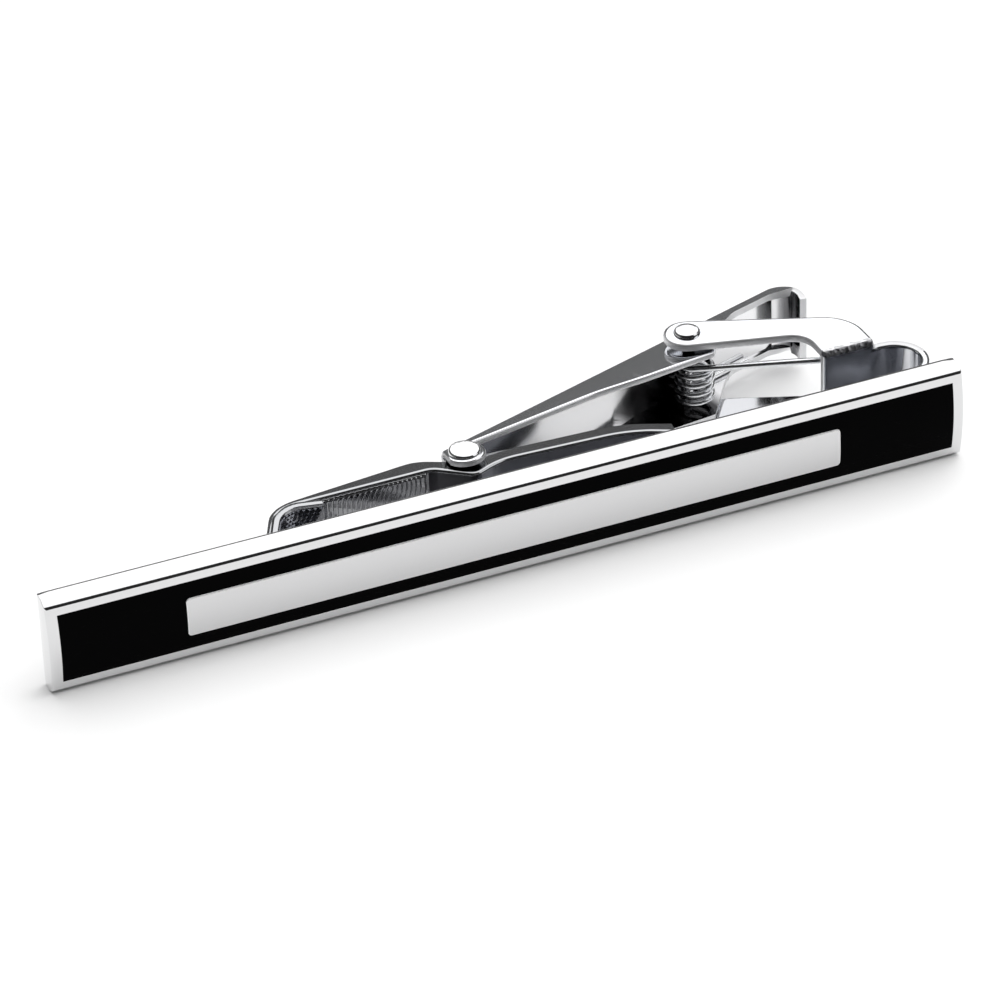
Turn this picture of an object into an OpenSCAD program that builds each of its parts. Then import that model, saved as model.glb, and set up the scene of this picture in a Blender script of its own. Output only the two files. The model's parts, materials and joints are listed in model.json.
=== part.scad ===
// Tie clip: a domed, enamelled bar with a sprung pinch clasp, riveted up from sheet, behind it.
// The bar stands on its long lower edge. +X runs along the bar towards the clasp's fixed end,
// -Y is the front, and the clasp is on the +Y side. Sizes are in millimetres.

/* [Bar] */
// Length of the bar
bar_length = 60; // [50:0.5:75]
// Height of the bar at its back face
bar_height = 6.5; // [6:0.1:9]
// Thickness of the bar at its upper and lower front edges
bar_edge = 1.45; // [1.3:0.05:2.5]
// Rise of the domed front above those edges
bar_crown = 0.35; // [0.15:0.05:0.7]
// How far the upper and lower faces lean in towards the front
edge_draft = 0.3; // [0.1:0.05:0.5]
// Depth of the flat land along the lower back edge, on which the bar stands
standing_land = 0.8; // [0.4:0.1:1.2]

/* [Face] */
// Metal left between the back of the bar and the floor of the recess
recess_floor = 1.0; // [0.6:0.05:1.1]
// Border of bare metal at each end of the enamel
end_border = 0.7; // [0.4:0.1:3]
// Border of bare metal above and below the enamel, from the back face's height
side_border = 0.9; // [0.7:0.05:1.2]
// Corner radius of the enamel
enamel_corner = 0.35; // [0.1:0.05:0.8]
// Length of the centre plate
plate_length = 42.9; // [20:0.1:48]
// Height of the centre plate
plate_height = 2.65; // [1.5:0.05:3.5]
// How far the centre plate stands proud of the enamel
plate_proud = 0.08; // [0.02:0.02:0.2]
// Corner radius of the centre plate
plate_corner = 0.25; // [0.1:0.05:0.6]

/* [Bracket] */
// Sheet thickness of the bracket
bracket_sheet = 0.6; // [0.4:0.05:0.8]
// How far the bracket's ears stay inside the bar's height, above and below
bracket_inset = 0.05; // [0.02:0.01:0.3]
// Thickness of the solder under the bracket's foot
solder_thickness = 0.1; // [0.05:0.01:0.2]
// How far the solder stays inside the foot's height, above and below
solder_inset = 0.3; // [0.1:0.05:0.6]
// Width of the solder bead at the foot's end
solder_bead = 0.3; // [0.1:0.05:0.5]
// Outer radius of the bracket's U-bend
bend_radius = 2.2; // [1.8:0.05:2.6]
// Distance from the bend to the bar's right end
bend_inset = 0.55; // [0.3:0.05:4]
// Length of the foot that is soldered to the bar
foot_length = 7.5; // [4:0.5:12]
// Length of the straight web behind the foot
web_length = 4.15; // [3.5:0.05:6]
// Width of the ears where they fold back from the web
ear_foot = 3.4; // [2.8:0.1:3.5]
// Radius of the ears' round ends at the lever rivet
ear_radius = 1.5; // [1.2:0.05:1.8]
// Height of the ears' outer elbow above the web
elbow_outer = 2.85; // [2.4:0.05:3.5]
// Height of the ears' inner elbow above the web
elbow_inner = 1.95; // [1.4:0.05:2.2]
// Radius of both elbows
elbow_radius = 1.4; // [0.6:0.1:1.6]

/* [Lever] */
// Distance of the lever rivet from the start of the bracket's bend, along the bar
pivot_reach = 10.75; // [9:0.05:13]
// Distance of the lever rivet behind the bar
pivot_standoff = 9.92; // [9:0.05:11]
// Distance between the lever rivet and the jaw rivet
pivot_spacing = 18.3; // [16:0.1:20]
// Angle between the lever and the bar when the clip is closed
lever_angle = 18.1; // [16:0.1:19]
// Sheet thickness of the lever
lever_sheet = 0.4; // [0.3:0.05:0.5]
// Gap between the lever and each of the bracket's ears
lever_gap = 0.3; // [0.05:0.05:0.4]
// Distance from the lever rivet's axis to the lever's outer face
lever_back = 1.45; // [1.45:0.05:1.9]
// How much closer to the lever's outer face the jaw rivet lies
jaw_pivot_offset = 0.25; // [0:0.05:0.3]
// Length of the lever past the jaw rivet
lever_end = 0.9; // [0.6:0.05:1.2]
// Radius of the lever's round tabs at the jaw rivet
tab_radius = 1.3; // [1:0.05:1.5]
// Depth of the lever's side flange beside the jaw rivet
flange_neck = 1.05; // [0.8:0.05:1.3]
// Depth of the flange at its waist, between the rivets
waist_depth = 1.9; // [1.6:0.05:2.2]
// Distance of the waist from the lever rivet
waist_reach = 8; // [6:0.1:10]
// Depth of the flange at its heel, on the jaw's side of the lever rivet
heel_depth = 3.15; // [2.8:0.05:3.4]
// Distance of the heel from the lever rivet
heel_reach = 2; // [1.5:0.1:3]
// Depth of the flange at its toe, on the thumb's side of the lever rivet
toe_depth = 3.4; // [3:0.05:3.8]
// Distance of the toe from the lever rivet
toe_reach = 0.4; // [0.2:0.05:0.8]
// Depth of the flange at its shoulder, where it narrows towards the thumb end
shoulder_depth = 1.3; // [1.1:0.05:1.6]
// Distance of the shoulder from the lever rivet
shoulder_reach = 3.2; // [2.8:0.1:4]
// Depth of the flange's rim beside the thumb curl
rim_depth = 0.75; // [0.6:0.05:1]
// Distance over which the rim runs out at the thumb curl
rim_run = 2; // [1:0.1:3]
// Length of the lever from the lever rivet to the start of the thumb curl
thumb_reach = 8.2; // [7:0.1:9]
// Outer radius of the thumb curl
thumb_radius = 1.5; // [1:0.05:1.8]
// Angle through which the thumb end is curled
thumb_turn = 131; // [90:1:150]
// Straight length of the lip after the thumb curl
thumb_lip = 2.2; // [1:0.1:2.6]

/* [Jaw] */
// Sheet thickness of the jaw
jaw_sheet = 0.3; // [0.25:0.05:0.4]
// Gap between the jaw and each side of the lever
jaw_gap = 0.07; // [0.05:0.01:0.15]
// Gap between the jaw's tip and the bar when the clip is closed
tip_gap = 0.15; // [0.1:0.05:0.4]
// Distance of the jaw's tip from the jaw rivet, along the bar
tip_reach = 14.4; // [12:0.1:16]
// Distance along the bar from the jaw's tip to its pad
curl_run = 2.1; // [1.6:0.1:3]
// Radius of the curl between the jaw's tip and its pad
curl_radius = 2.2; // [1:0.1:2.4]
// Height of the toothed pad behind the bar
pad_height = 4.5; // [4.3:0.05:5]
// Distance of the pad's end from the jaw rivet, along the bar
pad_end_reach = 2.2; // [1.8:0.1:3]
// Distance from the jaw rivet's axis to the jaw's inner face in the dip
dip_depth = 1.93; // [1.6:0.01:2.2]
// Distance of the tail's arch from the jaw rivet, along the bar
arch_reach = 2; // [1.5:0.1:3]
// Height of the tail's arch behind the bar
tail_height = 3.5; // [3:0.05:3.8]
// Height at which the tail turns down, behind the bar
slope_height = 3; // [2.6:0.05:3.4]
// Length along the bar over which the tail slopes down
slope_run = 2.7; // [2:0.1:4]
// Height of the tail's end behind the bar
tail_end_height = 1.6; // [1.4:0.05:2.2]
// Distance of the tail's end from the jaw rivet, along the bar
tail_reach = 12.9; // [11:0.1:13.5]
// Length of pad over which the tip's sheet is folded back on itself
hem_length = 2.2; // [1.5:0.1:4]
// Depth of the flanges along the pad
pad_flange = 0.85; // [0.6:0.05:1]
// Depth of the flanges along the tail
tail_flange = 0.9; // [0.6:0.05:1]
// Distance over which the pad's flanges deepen from the curl
flange_run = 1.8; // [0.6:0.1:2.5]
// Gap along the bar between the pad's flanges and the lever's tabs
neck_gap = 0.2; // [0.15:0.05:0.4]
// How far the flanges rise past the jaw rivet's axis
tab_rise = 0.1; // [0:0.05:0.2]
// Gap between the jaw's tabs and the inside of the lever
jaw_tab_gap = 0.08; // [0.05:0.01:0.15]
// Distance between the pad's teeth
tooth_pitch = 0.5; // [0.35:0.05:1]
// Depth of the grooves between the pad's teeth
tooth_depth = 0.12; // [0.05:0.01:0.16]

/* [Rivets and spring] */
// Diameter of both rivets' shanks
rivet_diameter = 0.8; // [0.7:0.05:0.9]
// Radial clearance of the holes that turn on a rivet
running_clearance = 0.05; // [0.02:0.01:0.08]
// Radial clearance of the holes that are fixed on a rivet
seat_clearance = 0.01; // [0.005:0.005:0.02]
// Diameter of the lever rivet's head
lever_rivet_head = 1.7; // [1.4:0.05:2.2]
// Diameter of the jaw rivet's heads
jaw_rivet_head = 2.05; // [1.6:0.05:2.4]
// Height of the rivets' domed heads
head_rise = 0.38; // [0.25:0.01:0.45]
// Diameter of the spring's wire
wire_diameter = 0.32; // [0.25:0.01:0.36]
// Radial play of the spring's coil round the lever rivet
coil_play = 0.52; // [0.5:0.02:0.6]
// Gap between the spring's coil and the inside of the lever
coil_gap = 0.08; // [0.05:0.01:0.12]
// Whole curls of the spring, besides the part turn between its legs
coil_curls = 4; // [2:1:4]
// Gap between the spring's leg and the bracket's web
leg_gap = 0.02; // [0.01:0.01:0.1]
// Length of the spring's leg along the lever
lever_leg = 6; // [4:0.1:7.5]
// How far the spring's other leg reaches over the bracket's web
web_leg = 1.4; // [0.8:0.1:2.5]

/* [Hidden] */
$fn = 64;

// A little extra length for cuts that pass right through
cut = 1;
// How far the cutters of the jaw's grooves stand out of its face
groove_cut = 0.02;
// Steps in a rounded corner and in the thumb curl
corner_steps = 8;
thumb_steps = 16;
// Largest share of a side that a rounded corner takes up
corner_share = 0.49;
// Rings in a spring curl and sides of its wire
curl_rings = 8;
wire_sides = 6;

// Planes of the bar
back_y = standing_land / 2;
middle_z = bar_height / 2;
edge_y = back_y - bar_edge;
front_height = bar_height - 2 * edge_draft;
floor_y = back_y - recess_floor;
dome_radius = (pow(front_height / 2, 2) + pow(bar_crown, 2)) / (2 * bar_crown);
dome_y = edge_y - bar_crown + dome_radius;
enamel_length = bar_length - 2 * end_border;
enamel_height = bar_height - 2 * side_border;

// Half heights of the nested channels, from the outside to the inside
ear_half = bar_height / 2 - bracket_inset;
web_half = ear_half - bracket_sheet;
lever_half = web_half - lever_gap;
lever_inner_half = lever_half - lever_sheet;
jaw_half = lever_inner_half - jaw_gap;

// Bracket's places in plan
bend_x = bar_length / 2 - bend_inset - bend_radius;
foot_y = back_y + solder_thickness;
bend_y = foot_y + bend_radius;
web_y = foot_y + 2 * bend_radius;
web_x = bend_x - web_length;
foot_x = bend_x - foot_length;

// Rivets' places in plan
lever_pivot = [bend_x - pivot_reach, back_y + pivot_standoff];
lever_axis = [cos(lever_angle), sin(lever_angle)];
lever_normal = [-lever_axis[1], lever_axis[0]];
jaw_pivot_local = [-pivot_spacing, jaw_pivot_offset];
jaw_pivot = lever_pivot + jaw_pivot_local[0] * lever_axis + jaw_pivot_local[1] * lever_normal;
rivet_radius = rivet_diameter / 2;

// Lever's outline, in its own frame: x along the lever from the lever rivet, y away from the bar
lever_inner = lever_back - lever_sheet;
lever_tip = -pivot_spacing - lever_end;
jaw_tab = lever_inner - jaw_pivot_offset - jaw_tab_gap;
flange_root = [-pivot_spacing + tab_radius, lever_back - flange_neck];
flange_waist = [-waist_reach, lever_back - waist_depth];
flange_heel = [-heel_reach, lever_back - heel_depth];
flange_toe = [toe_reach, lever_back - toe_depth];
flange_shoulder = [shoulder_reach, lever_back - shoulder_depth];
flange_rim = [thumb_reach - rim_run, lever_back - rim_depth];
waist_bend = 12;
heel_bend = 4;
toe_bend = 0.2;
shoulder_bend = 2;

// Corners of the jaw's inner face, in plan, from its tip to its tail, and the radii of its bends
tip_point = [jaw_pivot[0] - tip_reach, back_y + tip_gap];
pad_y = back_y + pad_height;
pad_start = [tip_point[0] + curl_run, pad_y];
pad_end = [jaw_pivot[0] - pad_end_reach, pad_y];
dip_point = [jaw_pivot[0], jaw_pivot[1] - dip_depth];
arch_point = [jaw_pivot[0] + arch_reach, back_y + tail_height];
slope_point = [jaw_pivot[0] + tail_reach - slope_run, back_y + slope_height];
tail_point = [jaw_pivot[0] + tail_reach, back_y + tail_end_height];
pad_bend = 1.1;
dip_bend = 0.7;
arch_bend = 1.2;
tail_bend = 2;
flange_bend = 0.5;

// Spring's places: the coil lies in front of the rivet's axis, clear of the lever's web
coil_radius = rivet_radius + coil_play + wire_diameter / 2;
coil_shift = coil_radius + wire_diameter / 2 + coil_gap - lever_inner;
coil_centre = lever_pivot - coil_shift * lever_normal;
coil_low = middle_z - lever_inner_half + coil_gap + wire_diameter / 2;
coil_high = middle_z + lever_inner_half - coil_gap - wire_diameter / 2;
web_leg_end = [web_x + web_leg, web_y + wire_diameter / 2 + leg_gap];
leg_offset = web_leg_end - coil_centre;
leg_heading = atan2(leg_offset[1], leg_offset[0]) + asin(coil_radius / norm(leg_offset));
// Angles round the coil's centre at which the wire leaves the lever and sets out for the web
coil_from = lever_angle + 90;
coil_to = leg_heading - 90 + 360 * (coil_curls + (leg_heading - 90 < coil_from - 360 ? 2 : 1));

// Plain geometry

function unit(v) = v / norm(v);

// Point at a distance and angle from a centre
function polar(centre, radius, angle) = centre + radius * [cos(angle), sin(angle)];

// Where a line from a point touches a circle, on its left (side 1) or right (side -1)
function touch(from, centre, radius, side) =
    let (away = from - centre, turn = acos(radius / norm(away)))
    polar(centre, radius, atan2(away[1], away[0]) + side * turn);

// Signed turn between two headings, from -180 to 180 degrees
function turn_between(first, second) = let (turn = second - first)
    turn > 180 ? turn - 360 : turn < -180 ? turn + 360 : turn;

// Points that round the corner at b between a and c
function corner(a, b, c, radius) =
    let (to_a = unit(a - b), to_c = unit(c - b), half = acos(to_a * to_c) / 2)
    let (limit = corner_share * min(norm(a - b), norm(c - b)) * tan(half), r = min(radius, limit))
    let (centre = b + unit(to_a + to_c) * r / sin(half))
    let (start = b + to_a * r / tan(half) - centre, stop = b + to_c * r / tan(half) - centre)
    let (first = atan2(start[1], start[0]), turn = turn_between(first, atan2(stop[1], stop[0])))
    [for (i = [0 : corner_steps]) polar(centre, r, first + turn * i / corner_steps)];

// A closed outline with its corners rounded; a radius of 0 leaves a corner sharp
function rounded(points, radii) = let (n = len(points))
    [for (i = [0 : n - 1]) each radii[i] == 0 ? [points[i]] :
        corner(points[(i + n - 1) % n], points[i], points[(i + 1) % n], radii[i])];

// An open line with its inner corners rounded
function bent(points, radii) = let (last = len(points) - 1)
    [for (i = [0 : last]) each i == 0 || i == last ? [points[i]] :
        corner(points[i - 1], points[i], points[i + 1], radii[i])];

// Direction of an open line at one of its points
function heading(line, i) =
    unit(line[min(i + 1, len(line) - 1)] - line[max(i - 1, 0)]);

// The line moved sideways, to the left of its direction
function beside(line, distance) = [for (i = [0 : len(line) - 1])
    let (along = heading(line, i)) line[i] + distance * [-along[1], along[0]]];

function reversed(list) = [for (i = [len(list) - 1 : -1 : 0]) list[i]];

function rectangle(low, high) = [low, [high[0], low[1]], high, [low[0], high[1]]];

// A plan outline raised between two heights
module plate_between(outline, low, high) {
    translate([0, 0, low]) linear_extrude(high - low) polygon(outline);
}

// A plan outline at the top and the bottom of a channel, each one sheet thick
module flange_pair(outline, half, sheet) {
    plate_between(outline, middle_z + half - sheet, middle_z + half);
    plate_between(outline, middle_z - half, middle_z - half + sheet);
}

// Round tabs at the top and the bottom of a channel
module tab_pair(place, radius, half, sheet) {
    for (low = [middle_z + half - sheet, middle_z - half])
        translate([place[0], place[1], low]) cylinder(r = radius, h = sheet);
}

// A hole from below the part to above it
module through_hole(place, radius) {
    translate([place[0], place[1], -cut]) cylinder(r = radius, h = bar_height + 2 * cut);
}

// A strip of sheet that follows a line
module strip(line, sheet, half) {
    plate_between(concat(line, reversed(beside(line, sheet))), middle_z - half, middle_z + half);
}

// A domed rivet head with its flat face on z = 0
module dome(diameter) {
    ball = (pow(diameter / 2, 2) + pow(head_rise, 2)) / (2 * head_rise);
    intersection() {
        translate([0, 0, head_rise - ball]) sphere(r = ball);
        cylinder(d = diameter + cut, h = head_rise + cut);
    }
}

// Everything behind the bar's domed front, raised by an amount
module dome_space(raise) {
    translate([-bar_length / 2, dome_y, middle_z]) rotate([0, 90, 0])
        cylinder(r = dome_radius + raise, h = bar_length, $fn = 180);
}

// A rounded block that stands forward from the floor of the recess
module face_block(length, height, radius) {
    half = [length / 2, height / 2];
    outline = rounded(rectangle(-half, half), [radius, radius, radius, radius]);
    translate([0, floor_y, middle_z]) rotate([90, 0, 0])
        linear_extrude(bar_edge + bar_crown + cut) polygon(outline);
}

// Sub-parts

module front_bar() color("gainsboro") {
    section = [[back_y, 0], [back_y, bar_height], [back_y - standing_land, bar_height],
        [edge_y, bar_height - edge_draft], [edge_y - bar_crown - cut, bar_height - edge_draft],
        [edge_y - bar_crown - cut, edge_draft], [edge_y, edge_draft], [back_y - standing_land, 0]];
    difference() {
        intersection() {
            translate([-bar_length / 2, 0, 0]) rotate([90, 0, 90])
                linear_extrude(bar_length) polygon(section);
            dome_space(0);
        }
        face_block(enamel_length, enamel_height, enamel_corner);
    }
}

module enamel_inlay() color([0.04, 0.04, 0.045]) {
    difference() {
        intersection() {
            face_block(enamel_length, enamel_height, enamel_corner);
            dome_space(0);
        }
        translate([0, cut, 0]) face_block(plate_length, plate_height, plate_corner);
    }
}

module centre_plate() color("silver") {
    intersection() {
        face_block(plate_length, plate_height, plate_corner);
        dome_space(plate_proud);
    }
}

// One flat ear of the bracket, in plan
function ear_outline() =
    let (right = web_x + ear_foot)
    let (outer = [right, web_y + elbow_outer], inner = [web_x, web_y + elbow_inner])
    rounded([touch(outer, lever_pivot, ear_radius, 1), outer, [right, web_y], [web_x, web_y], inner,
        touch(inner, lever_pivot, ear_radius, -1)], [0, elbow_radius, 0, 0, elbow_radius, 0]);

module base_bracket() color("lightgray") {
    low = middle_z - web_half;
    height = 2 * web_half;
    difference() {
        union() {
            translate([foot_x, foot_y, low]) cube([foot_length, bracket_sheet, height]);
            translate([web_x, web_y - bracket_sheet, low]) cube([web_length, bracket_sheet, height]);
            intersection() {
                translate([bend_x, bend_y, low]) difference() {
                    cylinder(r = bend_radius, h = height);
                    translate([0, 0, -cut]) cylinder(r = bend_radius - bracket_sheet, h = height + 2 * cut);
                }
                translate([bend_x, foot_y - cut, 0])
                    cube([bend_radius + cut, 2 * (bend_radius + cut), bar_height]);
            }
            flange_pair(ear_outline(), ear_half, bracket_sheet);
            tab_pair(lever_pivot, ear_radius, ear_half, bracket_sheet);
            for (side = [-1, 1]) intersection() {
                translate([web_x, web_y, middle_z + side * web_half]) rotate([0, 90, 0])
                    cylinder(r = bracket_sheet, h = ear_foot);
                translate([web_x, web_y - bracket_sheet, middle_z + (side > 0 ? web_half : -ear_half)])
                    cube([ear_foot, bracket_sheet, bracket_sheet]);
            }
        }
        through_hole(lever_pivot, rivet_radius + seat_clearance);
    }
}

module solder_joint() color("darkgray") {
    half = web_half - solder_inset;
    translate([foot_x - solder_bead, back_y, middle_z - half])
        cube([foot_length + solder_bead, solder_thickness, 2 * half]);
}

// The lever's side flange, in the lever's own frame
function lever_flange() = rounded(
    [[lever_tip, lever_back], [thumb_reach, lever_back], [thumb_reach, lever_inner], flange_rim,
        flange_shoulder, flange_toe, flange_heel, flange_waist, flange_root, jaw_pivot_local,
        [lever_tip, lever_inner]],
    [0, 0, 0, shoulder_bend, shoulder_bend, toe_bend, heel_bend, waist_bend, 0, 0, 0]);

// The lever's thumb curl and lip, along the outer face
function thumb_line() =
    let (centre = [thumb_reach, lever_back - thumb_radius])
    let (curl = [for (i = [0 : thumb_steps]) polar(centre, thumb_radius, 90 - thumb_turn * i / thumb_steps)])
    concat(curl, [curl[thumb_steps] + thumb_lip * [cos(thumb_turn), -sin(thumb_turn)]]);

module lever() color("gainsboro") {
    translate([lever_pivot[0], lever_pivot[1], 0]) rotate(lever_angle) difference() {
        union() {
            plate_between(rectangle([lever_tip, lever_inner], [thumb_reach, lever_back]),
                middle_z - lever_half, middle_z + lever_half);
            strip(reversed(thumb_line()), lever_sheet, lever_half);
            flange_pair(lever_flange(), lever_half, lever_sheet);
            tab_pair(jaw_pivot_local, tab_radius, lever_half, lever_sheet);
        }
        through_hole([0, 0], rivet_radius + running_clearance);
        through_hole(jaw_pivot_local, rivet_radius + seat_clearance);
    }
}

// The jaw's inner face, from its tip to its tail
function jaw_line() = bent([tip_point, pad_start, pad_end, dip_point, arch_point, slope_point, tail_point],
    [0, curl_radius, pad_bend, dip_bend, arch_bend, tail_bend, 0]);

// The fold at the jaw's tip, against its inner face
function hem_line() =
    beside(bent([tip_point, pad_start, pad_start + [hem_length, 0]], [0, curl_radius, 0]), -jaw_sheet);

// The jaw's side flange: the strip, widened to the back along the pad, the rivet and the tail
function jaw_flange() =
    let (front = [pad_start, pad_end, dip_point, arch_point, slope_point])
    let (back = [pad_start, pad_start + [flange_run, pad_flange], pad_end + [0, pad_flange],
        jaw_pivot + [-tab_radius - neck_gap, tab_rise], jaw_pivot + [arch_reach, tab_rise],
        slope_point + [0, tail_flange], (slope_point + tail_point) / 2])
    concat(bent(front, [0, pad_bend, dip_bend, arch_bend, 0]),
        reversed(bent(back, [0, flange_bend, flange_bend, flange_bend, tail_bend, flange_bend, 0])));

// A groove across the pad's inner face
module groove(x) {
    plate_between([[x - tooth_depth, pad_y - groove_cut], [x + tooth_depth, pad_y - groove_cut],
        [x, pad_y + tooth_depth]], -cut, bar_height + cut);
}

module jaw() color("silver") {
    first_groove = pad_start[0] + hem_length + tooth_pitch;
    difference() {
        union() {
            strip(jaw_line(), jaw_sheet, jaw_half);
            strip(hem_line(), jaw_sheet, jaw_half);
            flange_pair(jaw_flange(), jaw_half, jaw_sheet);
            tab_pair(jaw_pivot, jaw_tab, jaw_half, jaw_sheet);
        }
        through_hole(jaw_pivot, rivet_radius + running_clearance);
        translate([tip_point[0] - cut, tip_point[1] - 2 * cut, -cut])
            cube([curl_run + cut, 2 * cut, bar_height + 2 * cut]);
        for (x = [first_groove : tooth_pitch : pad_end[0] - pad_bend]) groove(x);
    }
}

module jaw_rivet() color("whitesmoke") {
    translate([jaw_pivot[0], jaw_pivot[1], middle_z]) {
        translate([0, 0, -lever_half]) cylinder(r = rivet_radius, h = 2 * lever_half);
        for (side = [0, 1]) mirror([0, 0, side]) translate([0, 0, lever_half]) dome(jaw_rivet_head);
    }
}

module lever_rivet() color("whitesmoke") {
    translate([lever_pivot[0], lever_pivot[1], middle_z]) {
        translate([0, 0, -ear_half]) cylinder(r = rivet_radius, h = 2 * ear_half);
        translate([0, 0, ear_half]) dome(lever_rivet_head);
    }
}

// Centre line of the spring: along the lever, round the coil, and on to the bracket's web
function spring_line() =
    let (steps = ceil(curl_rings * (coil_to - coil_from) / 360))
    let (coil = [for (i = [0 : steps])
        let (place = polar(coil_centre, coil_radius, coil_from + (coil_to - coil_from) * i / steps))
        [place[0], place[1], coil_low + (coil_high - coil_low) * i / steps]])
    let (leg = lever_leg * lever_axis)
    concat([coil[0] + [leg[0], leg[1], 0]], coil, [[web_leg_end[0], web_leg_end[1], coil_high]]);

// Ring of the wire's surface at one point of a line
function wire_ring(line, i) =
    let (along = heading(line, i), side = unit(cross(along, [0, 0, 1])), up = cross(side, along))
    [for (j = [0 : wire_sides - 1])
        line[i] + wire_diameter / 2 * (cos(360 * j / wire_sides) * side + sin(360 * j / wire_sides) * up)];

// Least distance between points of a line that lie at least half a curl apart, less the wire
function least_gap(line) = min([for (i = [0 : len(line) - 1], j = [i + curl_rings / 2 : 1 : len(line) - 1])
    norm(line[i] - line[j])]) - wire_diameter;

module torsion_spring() color("dimgray") {
    line = spring_line();
    rings = len(line);
    points = [for (i = [0 : rings - 1]) each wire_ring(line, i)];
    sides = [for (i = [0 : rings - 2], j = [0 : wire_sides - 1])
        let (a = i * wire_sides + j, b = i * wire_sides + (j + 1) % wire_sides)
        each [[a, b, b + wire_sides], [a, b + wire_sides, a + wire_sides]]];
    last = (rings - 1) * wire_sides;
    ends = [for (j = [1 : wire_sides - 2]) each [[0, j + 1, j], [last, last + j, last + j + 1]]];
    polyhedron(points, concat(sides, ends));
    echo(str("Least gap of the spring to itself: ", least_gap(line), " mm"));
}

front_bar();
enamel_inlay();
centre_plate();
base_bracket();
solder_joint();
lever();
jaw();
jaw_rivet();
lever_rivet();
torsion_spring();
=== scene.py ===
# %% [markdown]
# # A tie clip in bright plating and black enamel
#
# The clip is a domed bar with an enamelled face, and behind it a sprung pinch clasp made of stamped
# sheet, two rivets and a coil of wire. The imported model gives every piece's place and size. Here each
# piece is modelled again with the rounded edges, folds and finishes that the light plays on, in the same
# frame.

# %% Tools and the frame
import json
import math

import bmesh
import bpy
from bmesh.types import BMEdge, BMVert
from mathutils import Matrix, Vector
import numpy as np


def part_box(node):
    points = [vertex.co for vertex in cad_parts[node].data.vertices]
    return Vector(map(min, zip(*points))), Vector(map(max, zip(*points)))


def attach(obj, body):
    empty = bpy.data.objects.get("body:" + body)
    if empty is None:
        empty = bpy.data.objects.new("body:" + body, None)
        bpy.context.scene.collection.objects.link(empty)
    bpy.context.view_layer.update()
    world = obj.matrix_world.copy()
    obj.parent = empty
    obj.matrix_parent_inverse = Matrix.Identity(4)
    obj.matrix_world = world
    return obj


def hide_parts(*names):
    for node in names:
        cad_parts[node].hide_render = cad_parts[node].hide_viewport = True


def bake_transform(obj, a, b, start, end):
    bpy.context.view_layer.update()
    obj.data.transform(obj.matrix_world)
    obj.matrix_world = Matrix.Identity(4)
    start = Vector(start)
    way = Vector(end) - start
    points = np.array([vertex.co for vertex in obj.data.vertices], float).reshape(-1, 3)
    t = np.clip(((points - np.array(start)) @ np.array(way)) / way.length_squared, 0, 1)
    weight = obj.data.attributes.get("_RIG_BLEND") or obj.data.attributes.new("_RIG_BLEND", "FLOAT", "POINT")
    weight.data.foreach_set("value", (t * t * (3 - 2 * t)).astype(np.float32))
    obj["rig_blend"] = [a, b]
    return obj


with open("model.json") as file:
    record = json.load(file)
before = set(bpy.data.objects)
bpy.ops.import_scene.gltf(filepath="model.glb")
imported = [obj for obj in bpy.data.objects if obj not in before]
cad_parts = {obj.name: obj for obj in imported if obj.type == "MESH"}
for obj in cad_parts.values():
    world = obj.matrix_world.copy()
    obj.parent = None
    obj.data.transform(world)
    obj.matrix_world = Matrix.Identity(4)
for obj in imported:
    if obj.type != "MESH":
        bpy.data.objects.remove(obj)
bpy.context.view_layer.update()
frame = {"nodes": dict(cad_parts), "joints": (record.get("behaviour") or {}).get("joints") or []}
MM = 0.001
print("nodes:", sorted(frame["nodes"]))

# %% [markdown]
# ## Helpers for sheet metal
#
# Most of the clasp is thin sheet. A sheet piece is drawn as one open surface, its outer skin. A Solidify
# modifier then gives it the sheet's thickness on the inside, and a Bevel modifier breaks its cut edges,
# as tumbling does in the works. Lengths below are millimetres, and each mesh is turned into metres at
# the end.

# %% Arcs and outlines
CORNER_STEPS = 8
WEIGHTS = "bevel_weight_edge"


def polar(centre, radius, degrees):
    """Point at a distance and angle from a centre, in plan."""
    turn = math.radians(degrees)
    return Vector((centre[0] + radius * math.cos(turn), centre[1] + radius * math.sin(turn)))


def arc(centre, radius, start, stop, steps):
    """Points along an arc, both ends included."""
    return [polar(centre, radius, start + (stop - start) * i / steps) for i in range(steps + 1)]


def touch_angle(point, centre, radius, side):
    """Angle on a circle where a line from the point touches it, on the left (1) or the right (-1)."""
    away = Vector(point) - Vector(centre)
    return math.degrees(math.atan2(away.y, away.x) + side * math.acos(radius / away.length))


def corner_cut(before, corner, after, radius):
    """How far from a corner its rounding starts."""
    turn = (corner - before).angle(after - corner)
    return radius * math.tan(turn / 2)


def outline_face(corners, height, radii):
    """A flat face in plan. A corner with a radius is rounded by bevelling its vertex."""
    bm = bmesh.new()
    bm.edges.layers.float.new(WEIGHTS)
    points = [Vector((x, y)) for x, y in corners]
    verts = [bm.verts.new((p.x, p.y, height)) for p in points]
    bm.faces.new(verts)
    for i, radius in enumerate(radii):
        if radius:
            cut = corner_cut(points[i - 1], points[i], points[(i + 1) % len(points)], radius)
            bmesh.ops.bevel(
                bm, geom=[verts[i]], offset=cut, offset_type="OFFSET", affect="VERTICES",
                segments=CORNER_STEPS, profile=0.5, material=-1,
            )
    return bm


print("a quarter round has", len(arc((0, 0), 1, 0, 90, CORNER_STEPS)), "points")

# %% Joining and choosing parts of a mesh


def add_to(bm, other):
    """Copies one bmesh into another and frees it."""
    mesh = bpy.data.meshes.new("part")
    other.to_mesh(mesh)
    other.free()
    bm.from_mesh(mesh)
    bpy.data.meshes.remove(mesh)


def near(value, target, slack=1e-4):
    """Whether two lengths are as good as equal."""
    return abs(value - target) < slack


def only(geometry, kind):
    """The vertices or the edges in what a mesh operator returns."""
    return [g for g in geometry if isinstance(g, kind)]


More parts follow.
